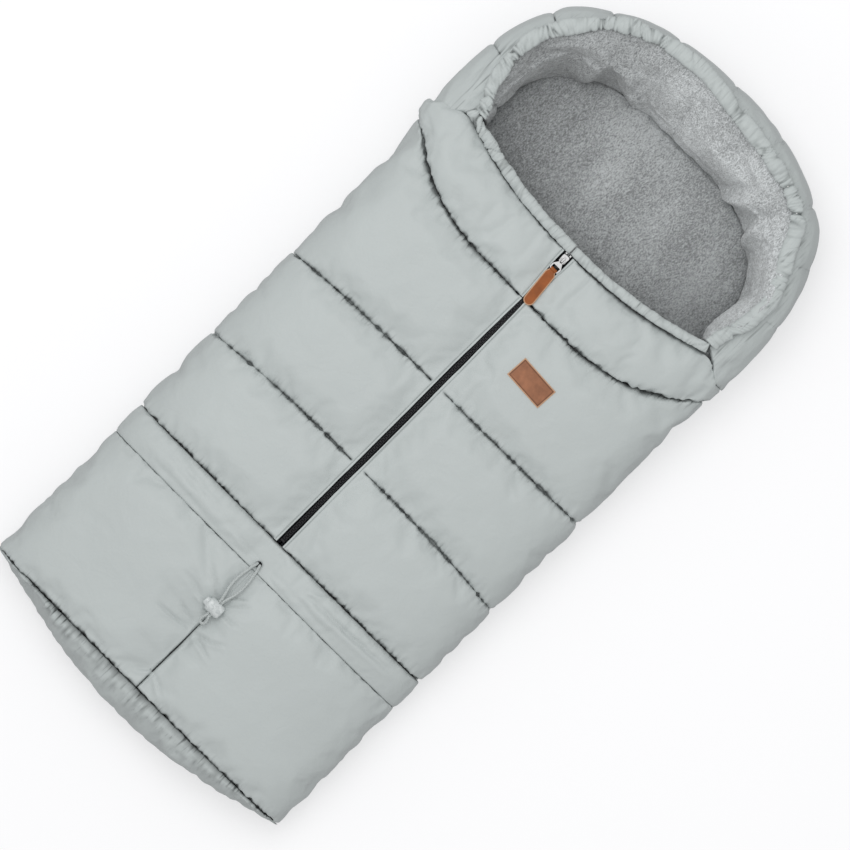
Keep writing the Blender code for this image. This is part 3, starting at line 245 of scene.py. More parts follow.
def makeNylon():
    look = fabricLook
    nylon = Finish("quilt nylon", look["colour"], look["roughness"],
                   {"Sheen Weight": 0.12, "Sheen Roughness": 0.45, "Specular IOR Level": 0.35})
    where = nylon.place()
    soft = nylon.clouds(where, 9.0, 3.0)
    creases = abs(nylon.clouds(where, 34.0, 3.0, 0.55, 0.9) - 0.5) * 2.0
    fine = abs(nylon.clouds(where, 95.0, 2.0, 0.5, 0.6) - 0.5) * 2.0
    along = nylon.place((230.0, 24.0, 60.0))
    stripes = nylon.clouds(along, 1.0, 2.0, 0.5, 0.25)
    near = nylon.painted("pucker")
    # painted shade: the mesh's share darkens the cloth towards the seam shade colour in seam grooves, stitch
    # lines, pinches and gather valleys
    deep = nylon.painted("crease")
    # short ticks of painted shade beside the seams
    spikes = nylon.clouds(nylon.place((330.0, 26.0, 90.0)), 1.0, 1.0, 0.4, 0.3)
    shadeTicks = (spikes - 0.57).maths("MAXIMUM", spikes - 0.57, 0.0) * 7.0 * near ** 3.0
    weave = nylon.clouds(nylon.place((2600.0, 2600.0, 2600.0)), 1.0, 0.0)
    nylon.bump(creases * 0.7 + fine * 0.3, look["crumple"], 0.42)
    nylon.bump(stripes * near, look["pucker"], 0.8)
    nylon.bump(weave, look["grain"], 0.5)
    low = shaded(look["colour"], 0.955)
    high = shaded(look["colour"], 1.045)
    # the painted shade and its ticks, laid over the cloth's uneven tone
    dark = deep.maths("MINIMUM", deep * 0.93 + shadeTicks * 0.5, 0.93)
    nylon.feed("Base Color", nylon.tint(dark, nylon.tint(soft, low, high), look["seamShadeColour"]))
    nylon.feed("Roughness", look["roughness"] - 0.06 + soft * 0.12)
    return nylon.material


# paintedLight holds the levels of the shaded and the lit copy of the fleece's colour
fleeceLook = {"colour": (0.43, 0.448, 0.454), "roughness": 0.95, "pile": 0.0024, "paintedLight": (0.76, 1.22)}


def makeFleece(name, paintedShadeLevel):
    look = fleeceLook
    fleece = Finish(name, look["colour"], look["roughness"],
                    {"Sheen Weight": 0.30, "Sheen Roughness": 0.6, "Specular IOR Level": 0.1})
    where = fleece.place((1.0, 0.5, 1.0), -38.0)
    tufts = fleece.clouds(where, 740.0, 1.0, 0.5, 0.3)
    clumps = fleece.clouds(where, 240.0, 2.0, 0.5, 0.6)
    soft = fleece.clouds(where, 16.0, 2.0)
    fleece.bump(tufts * 0.7 + clumps * 0.5, look["pile"], 0.85)
    share = (tufts - 0.5) * 2.3 + (clumps - 0.5) * 1.0 + (soft - 0.5) * 1.2 + 0.5
    # painted light: the mesh's share picks between a shaded and a lit copy of the fleece's colour, and
    # paintedShadeLevel darkens the whole fleece as painted shade
    paintedLight = fleece.painted("pucker")
    colour = shaded(look["colour"], paintedShadeLevel)
    shadeLevel, lightLevel = look["paintedLight"]
    dark = fleece.tint(share, shaded(colour, 0.506 * shadeLevel), shaded(colour, 1.30 * shadeLevel))
    pale = fleece.tint(share, shaded(colour, 0.56 * lightLevel), shaded(colour, 1.30 * lightLevel))
    both = {0: paintedLight, 6: dark, 7: pale}
    fleece.feed("Base Color", fleece.node("ShaderNodeMix", {"data_type": "RGBA"}, both, 2))
    return fleece.material


leatherLook = {
    "tab": (0.270, 0.080, 0.021), "patch": (0.285, 0.124, 0.066), "edge": (0.56, 0.36, 0.23),
    "roughness": 0.52,
}


def makeLeather(name, colour):
    look = leatherLook
    leather = Finish(name, colour, look["roughness"], {"Specular IOR Level": 0.22})
    where = leather.place()
    grain = leather.cells(where, 900.0)
    wear = leather.clouds(where, 120.0, 4.0, 0.6)
    patches = leather.clouds(where, 30.0, 3.0)
    # rim: a paler edge, partly the leather's own cut edge and partly a painted highlight; pressed: the darker
    # pressed line
    rim = leather.painted("pucker")
    pressed = leather.painted("crease")
    leather.bump(grain, 0.00025, 0.5)
    leather.bump(wear, 0.0004, 0.35)
    worn = (wear - 0.5) * 1.6 + (patches - 0.5) * 1.2 + 0.5
    body = leather.tint(worn, shaded(colour, 0.78), shaded(colour, 1.22))
    body = leather.tint(pressed * 0.9, body, shaded(colour, 0.30))
    leather.feed("Base Color", leather.tint(rim * 0.85, body, look["edge"]))
    leather.feed("Roughness", look["roughness"] - 0.08 + wear * 0.16)
    return leather.material


def makeHard(name, colour, roughness, cloud, fixed=None, stretch=(1.0, 1.0, 1.0),
             bump=None, spread=None, tints=None):
    # a hard finish: one noise for its relief, and where given for its roughness and colour
    hard = Finish(name, colour, roughness, fixed)
    scuffs = hard.clouds(hard.place(stretch), *cloud)
    if bump:
        hard.bump(scuffs, *bump)
    if spread:
        hard.feed("Roughness", spread[0] + scuffs * spread[1])
    if tints:
        hard.feed("Base Color", hard.tint(scuffs, *tints))
    return hard.material


def makeTape():
    tape = Finish("zip tape", (0.012, 0.013, 0.016), 0.85, {"Specular IOR Level": 0.08})
    ribs = tape.node("ShaderNodeTexWave", {"bands_direction": "Y"},
                     {"Vector": tape.place(), "Scale": 330.0, "Distortion": 0.6, "Detail Scale": 2.0})
    fuzz = tape.clouds(tape.place(), 1500.0, 1.0)
    tape.bump(ribs * 0.8 + fuzz * 0.3, 0.00018, 0.8)
    tape.feed("Base Color", tape.tint(ribs, (0.004, 0.005, 0.006), (0.011, 0.012, 0.014)))
    return tape.material


def makeBraid():
    braid = Finish("cord braid", (0.43, 0.465, 0.46), 0.8, {"Sheen Weight": 0.2})
    spin = braid.node("ShaderNodeTexCoord", {}, {}, "UV")
    around = braid.node("ShaderNodeSeparateXYZ", {}, {"Vector": spin}, "X") * (8.0 * math.pi)
    along = braid.node("ShaderNodeSeparateXYZ", {}, {"Vector": spin}, "Y") * 2500.0
    yarn = (around + along).maths("SINE", around + along, 0.0)
    other = (around - along).maths("SINE", around - along, 0.0)
    plait = yarn.maths("MAXIMUM", yarn, other) * 0.5 + 0.5
    fuzz = braid.clouds(braid.place(), 2600.0, 2.0)
    braid.bump(plait * 0.7 + fuzz * 0.4, 0.00035, 0.9)
    # darker in the braid's grooves: painted shade between the yarns, with dark flecks from the fuzz
    braid.feed("Base Color", braid.tint(plait * 0.7 + fuzz * 0.3, (0.13, 0.15, 0.145), (0.60, 0.64, 0.635)))
    return braid.material


def makePlastic():
    plastic = Finish("lock plastic", (0.60, 0.63, 0.63), 0.30)
    flow = plastic.clouds(plastic.place(), 190.0, 3.0, 0.6, 0.8)
    plastic.bump(flow, 0.0009, 0.5)
    plastic.feed("Roughness", 0.20 + flow * 0.16)
    cloudy = (flow - 0.5) * 2.2 + 0.5
    plastic.feed("Base Color", plastic.tint(cloudy, (0.42, 0.455, 0.455), (0.70, 0.73, 0.73)))
    return plastic.material


def makeElastic():
    elastic = Finish("covered elastic", (0.72, 0.72, 0.71), 0.85)
    knit = elastic.node("ShaderNodeTexWave", {"bands_direction": "DIAGONAL"},
                        {"Vector": elastic.place(), "Scale": 160.0, "Distortion": 1.0})
    elastic.bump(knit, 0.0003, 0.7)
    elastic.feed("Base Color", elastic.tint(knit, (0.60, 0.60, 0.59), (0.80, 0.80, 0.79)))
    return elastic.material


nylon = makeNylon()
fleece = makeFleece("pale fleece", 1.0)
# the back's fleece is the same fleece, darkened to 0.78 as painted shade
shadedBackFleece = makeFleece("back fleece in painted shade", 0.78)
tabLeather = makeLeather("tab leather", leatherLook["tab"])
patchLeather = makeLeather("patch leather", leatherLook["patch"])
metal = makeHard("zip metal", (0.34, 0.34, 0.34), 0.28, (700.0, 3.0, 0.6), {"Metallic": 1.0}, (1.0, 6.0, 1.0),
                 (0.00006, 0.4), (0.2, 0.2), ((0.22, 0.22, 0.225), (0.46, 0.46, 0.455)))
tapeCloth = makeTape()
toothPlastic = makeHard("zip teeth", (0.010, 0.010, 0.012), 0.38, (900.0, 2.0), {"Specular IOR Level": 0.2},
                        bump=(0.00005, 0.4), spread=(0.26, 0.16))
braid = makeBraid()
lockPlastic = makePlastic()
eyeletPaint = makeHard("eyelet paint", (0.36, 0.39, 0.39), 0.35, (900.0, 3.0, 0.6),
                       bump=(0.00005, 0.4), tints=((0.30, 0.33, 0.33), (0.42, 0.45, 0.45)))
steel = makeHard("spring steel", (0.6, 0.6, 0.6), 0.3, (1200.0, 2.0), {"Metallic": 1.0}, spread=(0.22, 0.2))
elasticCloth = makeElastic()
print("materials")

# The bag's surfaces, which the pieces share


def halfWidth(y):
    body = mixed(bag["footHalf"], bag["bodyHalf"], smoothStep((y - bag["gussetY"]) / bag["hipReach"]))
    return mixed(body, bag["hoodHalf"], smoothStep((y - bag["collarY"]) / bag["shoulderReach"]))


def frontBase():
    return bag["backThick"] + bag["gap"]


def rise(y):
    fall = smoothStep((bag["bandY"] - y) / (bag["bandY"] - bag["gussetY"]))
    return bag["topZ"] - bag["footDrop"] * fall - frontBase()


def squareness(y):
    return mixed(2.8, 4.6, smoothStep((y - bag["bandY"]) / (bag["hemY"] - bag["bandY"])))


def skinPoint(angle, y, depth, side):
    power = squareness(y)
    across = math.cos(angle)
    up = math.sin(angle)
    reach = squarish(across, up, power)
    x = side * (halfWidth(y) - depth) * reach * across
    return Vector((x, y, frontBase() + (rise(y) - depth) * reach * up))


def angleAt(x, y):
    power = squareness(y)
    ratio = max(1.0, halfWidth(y) / max(x, 0.00001))
    return math.atan((ratio ** power - 1.0) ** (1.0 / power))


def collarSeam(x):
    return bag["collarY"] + (bag["collarSideY"] - bag["collarY"]) * (abs(x) / bag["hoodHalf"]) ** 4.0


def hemSeam(x):
    return bag["hemY"] + (bag["hemSideY"] - bag["hemY"]) * (abs(x) / bag["flapHeadX"]) ** 2.2


hood = {
    "seams": (0.0, 17.0, 34.5, 50.5, 70.0, 90.0, 110.0, 129.5, 145.5, 163.0, 180.0),
    "squareness": 2.6, "floorSide": 0.044, "floorHead": 0.088,
    "wallCell": 0.0052, "wallSteps": (0.0014, 0.0040), "wallRows": 26, "perDegree": 0.0042,
    "wallPadding": {"pressure": 4.0, "slack": 0.014, "cap": 0.005},
    "wallFolds": {"creases": 0.0011, "puckers": 0.0016, "seed": 41.0, "stretch": (120.0, 120.0, 22.0)},
    "wallBehind": 0.0045, "liningBehind": 0.0025, "liningClear": 0.0052,
    "liningColumns": 190, "liningRows": 30, "liningEnd": 0.6,
    "spillRow": 0.72, "spillInset": 0.045, "spillHeight": 0.0062,
    "liningPadding": {"pressure": 3.0, "slack": 0.05, "cap": 0.008, "bending": 0.5},
    "liningPile": {"height": 0.0011, "seed": 3.0},
    # folds of the slack lining: place in degrees, reach, lean and how far they stand out
    "liningFolds": (
        (12.0, 9.0, 0.2, 0.006), (43.0, 4.5, 0.3, 0.015), (56.0, 4.5, -0.3, 0.016),
        (80.0, 17.0, 0.1, 0.005), (104.0, 9.0, 0.2, 0.005), (121.0, 6.5, 0.4, 0.015),
        (136.0, 6.5, -0.3, 0.016), (165.0, 7.0, -0.2, 0.006)),
    "casing": {"wide": 0.0094, "high": 0.0044, "columns": 760, "sides": 20, "gather": 0.0062, "seed": 2.0},
    "rimTop": 0.1032, "rimDrop": 0.006,
    # how far in the rim lies, how far the wall swells past its outline, and the casing's bunches by degrees
    "rim": (
        (0.0, 0.044), (5.0, 0.041), (13.0, 0.031), (22.0, 0.023), (37.0, 0.026), (45.0, 0.018), (52.0, 0.017),
        (60.0, 0.022), (68.0, 0.025), (78.0, 0.024), (86.0, 0.021), (98.0, 0.014), (112.0, 0.014),
        (124.0, 0.012), (132.0, 0.014), (140.0, 0.016), (148.0, 0.013), (158.0, 0.017), (168.0, 0.029),
        (176.0, 0.044), (180.0, 0.048)),
    "swell": (
        (0.0, 0.0), (20.0, 0.002), (45.0, 0.002), (60.0, -0.001), (75.0, -0.003), (108.0, -0.004),
        (118.0, -0.007), (129.0, -0.005), (142.0, 0.005), (160.0, 0.005), (172.0, 0.003), (180.0, 0.002)),
    "bunches": (
        (175.0, 6.0, 1.0), (160.0, 4.0, 1.0), (147.0, 3.5, 0.9), (132.0, 4.0, 1.0), (122.0, 5.0, 0.9),
        (115.0, 3.0, 0.8), (84.0, 3.0, 0.7), (69.0, 4.0, 0.8), (56.0, 5.0, 1.0), (49.0, 3.0, 1.0),
        (30.0, 4.0, 0.5), (8.0, 5.0, 0.7)),
}


def outlinePoint(degrees, inset=0.0):
    angle = math.radians(degrees)
    power = hood["squareness"]
    across = math.cos(angle)
    along = math.sin(angle)
    reach = squarish(across, along, power)
    x = (bag["hoodHalf"] - inset) * reach * across
    return Vector((x, bag["hoodY"] + (bag["headY"] - bag["hoodY"] - inset) * reach * along, 0.0))


def inwards(degrees):
    # from the hood's outline to the middle of its opening
    return (Vector((0.0, bag["hoodY"], 0.0)) - outlinePoint(degrees)).normalized()


def hoodPlace(degrees, inset, z):
    degrees = min(179.98, max(0.02, degrees))
    point = outlinePoint(degrees) + inwards(degrees) * inset
    return Vector((point.x, point.y - cornerDrop(point.x) * nearEnd(degrees, 16.0), z))


def nearEnd(degrees, reach):
    # 1 at either end of the hood's arc, 0 from some degrees on
    return 1.0 - smoothStep(min(degrees, 180.0 - degrees) / reach)


def rimTop(degrees):
    return hood["rimTop"] - hood["rimDrop"] * nearEnd(degrees, 14.0)


def rimInset(degrees):
    # the drawn-in rim wanders: far in at its ends and the corners, close to the outside between
    return float(np.interp(degrees, *zip(*hood["rim"])))


def wallOutside(degrees, up, crown):
    heights = (0.0, 0.14, 0.34, 0.58, 0.80, 0.95, 1.0)
    rim = rimInset(degrees)
    insets = (0.003, -0.002, -0.005, -0.003, 0.12 * rim, 0.55 * rim, rim - 0.003)
    weights = (0.0, 0.2, 0.7, 1.0, 0.9, 0.4, 0.0)
    crown += float(np.interp(degrees, *zip(*hood["swell"])))
    inset = float(np.interp(up, heights, insets)) - crown * float(np.interp(up, heights, weights))
    return hoodPlace(degrees, inset, mixed(frontBase(), rimTop(degrees), up))


corner = {
    "x": 0.196, "reach": 0.040, "drop": 0.026, "run": 0.055, "fromX": 0.150,
    "tuckLeft": 0.0045, "tuckRight": 0.0035, "tuckX": 0.205, "tuckReach": 0.02,
}


def cornerShare(x):
    # how far a place lies outside the corner where hem, collar and hood meet
    return smoothStep((abs(x) - corner["x"]) / corner["reach"])


def cornerDrop(x):
    # the hood reaches further down outside that corner
    return corner["drop"] * cornerShare(x)


def cornerShift(angle, y, side):
    # brings the front's section up to the hood wall's end section as it nears it
    meeting = skinPoint(angleAt(corner["x"], bag["hoodY"]), bag["hoodY"], 0.0, 1.0)
    spot = skinPoint(angle, bag["hoodY"], 0.0, 1.0)
    share = smoothStep((y + cornerDrop(spot.x) - bag["hoodY"] + corner["run"]) / corner["run"])
    share *= smoothStep((spot.x - corner["fromX"]) / (corner["x"] - corner["fromX"]))
    if share == 0.0:
        return Vector((0.0, 0.0, 0.0))
    up = min(1.0, (spot.z - frontBase()) / (meeting.z - frontBase()))
    wall = wallOutside(0.02 if side > 0.0 else 179.98, up, 0.0)
    across = (abs(wall.x) - max(spot.x, corner["x"])) * share if spot.x > 0.19 else 0.0
    tuck = corner["tuckRight"] if side > 0.0 else -corner["tuckLeft"]
    across -= tuck * share * smoothStep((spot.x - corner["tuckX"]) / corner["tuckReach"])
    return Vector((side * across, 0.0, (wall.z - min(spot.z, meeting.z)) * share))


def sectionTable(y, edge):
    # angles of the section at even steps of its length, from the side seam to the edge
    angles = np.linspace(0.0, angleAt(edge, y), 120)
    power = squareness(y)
    reach = squarish(np.cos(angles), np.sin(angles), power)
    x = halfWidth(y) * reach * np.cos(angles)
    z = rise(y) * reach * np.sin(angles)
    steps = np.hypot(np.diff(x), np.diff(z))
    return angles, np.concatenate(([0.0], np.cumsum(steps)))


# Padded skins: a grid on the surface, held at its seams and blown up as cloth


def gridSkin(across, along, place, size):
    # place gives a point, how near it lies to a seam (on fleece, its share of painted light) and how much
    # painted shade it takes in a seam (on leather, its pressed line), from shares across and along
    skin = bmesh.new()
    bmesh.ops.create_grid(skin, x_segments=across, y_segments=along, size=0.5)
    shares = skin.verts.layers.float_vector.new("share")
    near = skin.verts.layers.float.new("pucker")
    deep = skin.verts.layers.float.new("crease")
    outside = skin.verts.layers.float.new("skin")
    pattern = skin.loops.layers.uv.new("pattern")
    for face in skin.faces:
        for corner in face.loops:
            spot = corner.vert.co
            corner[pattern].uv = ((spot.x + 0.5) * size[0], (spot.y + 0.5) * size[1])
    for point in skin.verts:
        u = round(point.co.x + 0.5, 6)
        v = round(point.co.y + 0.5, 6)
        point[shares] = (u, v, 0.0)
        point[outside] = 1.0
        point.co, point[near], *rest = place(u, v)
        point[deep] = rest[0] if rest else 0.0
    return skin


def heldPoints(item, isHeld):
    # indices of the points that the stitching holds, told by their shares and places
    held = []
    for index, share in enumerate(item.data.attributes["share"].data):
        if isHeld(share.vector[0], share.vector[1], item.data.vertices[index].co):
            held.append(index)
    return held


def upwards(spot):
    # the way that faces on top of the bag look
    return Vector((spot.x * 0.2, 0.0, 1.0))


def downwards(spot):
    return -upwards(spot)


def onRim(u, v, spot):
    return v < 0.001 or v > 0.999 or u < 0.001 or u > 0.999


def movePoints(mesh, spots):
    mesh.vertices.foreach_set("co", [part for spot in spots for part in spot])
    mesh.update()


def weld(item):
    # points that fall together become one
    skin = bmesh.new()
    skin.from_mesh(item.data)
    bmesh.ops.remove_doubles(skin, verts=skin.verts, dist=0.00002)
    skin.to_mesh(item.data)
    skin.free()


def faceOut(skin, towards):
    # turn an open skin's faces to the side that a direction points to
    skin.normal_update()
    if sum(face.normal.dot(towards(face.calc_center_median())) for face in skin.faces) < 0.0:
        bmesh.ops.reverse_faces(skin, faces=skin.faces)


def makeObject(name, skin, material, smooth=True):
    mesh = bpy.data.meshes.new(name)
    skin.to_mesh(mesh)
    skin.free()
    mesh.materials.append(material)
    if smooth:
        mesh.shade_smooth()
    item = bpy.data.objects.new(name, mesh)
    bpy.context.scene.collection.objects.link(item)
    return item


def openSkin(name, across, along, place, size, towards, material):
    skin = gridSkin(across, along, place, size)
    faceOut(skin, towards)
    return makeObject(name, skin, material)


simulation = {"frames": 20, "quality": 5, "mass": 0.2, "stiffness": 14.0, "bending": 0.35}


def puffUp(item, held, pressure, slack, cap, bending=simulation["bending"]):
    scene = bpy.context.scene
    group = item.vertex_groups.new(name="held")
    group.add(held, 1.0, "REPLACE")
    cloth = item.modifiers.new("padding", "CLOTH")
    settings = cloth.settings
    settings.vertex_group_mass = "held"
    settings.quality = simulation["quality"]
    settings.mass = simulation["mass"]
    settings.tension_stiffness = simulation["stiffness"]
    settings.compression_stiffness = simulation["stiffness"]
    settings.shear_stiffness = simulation["stiffness"] * 0.5
    settings.bending_stiffness = bending
    settings.use_pressure = True
    settings.uniform_pressure_force = pressure
    settings.shrink_min = -slack
    settings.effector_weights.gravity = 0.0
    cloth.collision_settings.use_collision = False
    last = simulation["frames"]
    cloth.point_cache.frame_start = 1
    cloth.point_cache.frame_end = last
    for step in range(1, last + 1):
        scene.frame_set(step)
    graph = bpy.context.evaluated_depsgraph_get()
    blown = item.evaluated_get(graph).data
    count = len(item.data.vertices)
    before = np.empty(count * 3)
    after = np.empty(count * 3)
    item.data.vertices.foreach_get("co", before)
    blown.vertices.foreach_get("co", after)
    before = before.reshape(-1, 3)
    move = after.reshape(-1, 3) - before
    far = np.linalg.norm(move, axis=1)
    move *= (np.minimum(far, cap) / np.maximum(far, 0.000001))[:, None]
    item.modifiers.remove(cloth)
    item.vertex_groups.remove(group)
    scene.frame_set(1)
    item.data.vertices.foreach_set("co", (before + move).ravel())
    item.data.update()


def closeSkin(item, insidePlace):
    # the inner side, joined to the outer one round the rim
    skin = bmesh.new()
    skin.from_mesh(item.data)
    shares = skin.verts.layers.float_vector["share"]
    outside = skin.verts.layers.float["skin"]
    made = bmesh.ops.duplicate(skin, geom=skin.verts[:] + skin.edges[:] + skin.faces[:])["geom"]
    inner = [part for part in made if isinstance(part, bmesh.types.BMVert)]
    for point in inner:
        point.co = insidePlace(point[shares][0], point[shares][1])
        point[outside] = 0.0
    bmesh.ops.reverse_faces(skin, faces=[part for part in made if isinstance(part, bmesh.types.BMFace)])
    rim = [edge for edge in skin.edges if edge.is_boundary]
    bmesh.ops.bridge_loops(skin, edges=rim)
    bmesh.ops.recalc_face_normals(skin, faces=skin.faces)
    skin.to_mesh(item.data)
    skin.free()
    item.data.shade_smooth()
    return item


def refine(item):
    # one subdivision, applied, so that the fine folds have points to move
    modifier = item.modifiers.new("refine", "SUBSURF")
    modifier.levels = 1
    modifier.render_levels = 1
    graph = bpy.context.evaluated_depsgraph_get()
    mesh = bpy.data.meshes.new_from_object(item.evaluated_get(graph))
    item.modifiers.clear()
    old = item.data
    item.data = mesh
    mesh.name = item.name
    bpy.data.meshes.remove(old)


def creased(spot, lines):
    # a soft valley along each line, with a low ridge on one side of it
    height = 0.0
    for startX, startY, endX, endY, depth, width in lines:
        runX = endX - startX
        runY = endY - startY
        length = math.hypot(runX, runY)
        share = ((spot.x - startX) * runX + (spot.y - startY) * runY) / (length * length)
        if share < 0.0 or share > 1.0:
            continue
        aside = ((spot.x - startX) * runY - (spot.y - startY) * runX) / length
        aside += width * 0.8 * rough(spot.x * 60.0, spot.y * 60.0)
        if abs(aside) > width * 4.0:
            continue
        fade = math.sin(math.pi * share) ** 0.6
        valley = math.exp(-(aside / width) ** 2)
        ridge = math.exp(-((aside - 1.9 * width) / (1.3 * width)) ** 2)
        height += depth * fade * (0.6 * ridge - valley)
    return height


def crinkle(item, creases, puckers, seed, lines=(), stretch=(210.0, 30.0, 80.0)):
    # creases and puckers are heights of the fine folds away from and along the seams
    mesh = item.data
    near = mesh.attributes["pucker"].data
    outside = mesh.attributes["skin"].data
    shift = Vector((seed * 7.3, seed * 3.1, seed * 5.7))
    grown = []
    for index, point in enumerate(mesh.vertices):
        spot = point.co
        reach = outside[index].value
        if reach < 0.01:
            grown.append(spot.copy())
            continue
        broad = noise.noise(spot * 13.0 + shift)
        folded = 1.0 - 2.0 * abs(noise.noise(spot * 34.0 + shift + Vector((broad, broad, 0.0))))
        stripe = noise.noise(Vector([part * times for part, times in zip(spot, stretch)]) + shift)
        height = creases * (0.8 * broad + 0.3 * folded) + puckers * near[index].value * stripe
        grown.append(spot + point.normal * (height + creased(spot, lines)) * reach)
    movePoints(mesh, grown)


# Front: quilted halves and collar halves

quilt = {
    "lip": 0.0028, "lipWidths": (0.0, 0.0008, 0.0017, 0.0024, 0.0028, 0.0032, 0.0042, 0.0064, 0.0100),
    "cell": 0.0046, "seamSteps": (0.0005, 0.0017, 0.0040), "grooves": (0.0055, 0.0045, 0.0010, 0.0),
    "crown": 0.0045, "collarCrown": 0.0050, "seamNear": 0.022, "lipRise": 0.0006, "lipStitch": 0.0011,
    "flatX": 0.190, "flatReach": 0.032, "flat": 0.3, "cordY": -0.378, "cordReach": 0.022,
    "edgeY": (-0.235, -0.10, 0.06, 0.13, 0.165), "edgeX": (0.0050, 0.0044, 0.0044, 0.0035, 0.0027),
    "edgeTop": 0.0072, "gaugeX": 0.1, "lowTilt": 0.010,
    # by side: the upper seam's tilt and how the seams fade at the zip, the corner, the side and the hem
    "highTilt": {-1.0: 0.009, 1.0: -0.002}, "zipFade": {-1.0: 0.004, 1.0: 0.007},
    "cornerFade": {-1.0: 0.55, 1.0: 0.95}, "sideFade": {-1.0: 0.35, 1.0: 0.7},
    "hemGroove": {-1.0: 0.5, 1.0: 0.8}, "hemShade": {-1.0: 0.25, 1.0: 0.7},
    "thick": 0.0125, "lipThick": 0.0014, "thinReach": 0.026, "sideDegrees": 9.0,
    "padding": {"pressure": 4.0, "slack": 0.035, "cap": 0.008},
}


def zipEdge(y):
    # the lips leave less of the tape bare towards the collar
    lower = float(np.interp(y, quilt["edgeY"], quilt["edgeX"]))
    parted = smoothStep((y - bag["collarY"]) / (bag["hemY"] - bag["collarY"]))
    return mixed(lower, quilt["edgeTop"], parted)


def middleEdge(y):
    return 0.0004


def at(value, tilt=0.0):
    return lambda x: value - tilt * (abs(x) / bag["bodyHalf"]) ** 3.0


def gauged(stop):
    # a seam's y at the place across where lengths are taken
    return stop(quilt["gaugeX"])


def channelShares(length, cell):
    # rows across one channel, close together beside its seams
    close = [0.0, *quilt["seamSteps"]]
    middle = length - 2.0 * close[-1]
    count = max(3, round(middle / cell))
    even = [close[-1] + middle * index / count for index in range(1, count)]
    return [spot / length for spot in close + even + [length - step for step in reversed(close)]]


def seamChannels(stops, cell):
    # neighbouring stops with the shares of the grid rows between them
    pairs = zip(stops, stops[1:])
    return [(first, last, channelShares(gauged(last) - gauged(first), cell)) for first, last in pairs]


def rowList(channels):
    rows = []
    for first, last, shares in channels:
        for index, share in enumerate(shares[:-1]):
            rows.append((first, last, share, min(index, len(shares) - 1 - index)))
    first, last, shares = channels[-1]
    rows.append((first, last, 1.0, 0))
    return rows


def acrossShares(wide, cell, lips):
    # shares across a half: even cells, then the fine columns of the lip at the zip
    fine = [wide - step for step in reversed(lips)]
    count = max(4, round(fine[0] / cell))
    even = [fine[0] * index / count for index in range(count)]
    return [spot / wide for spot in even + fine]


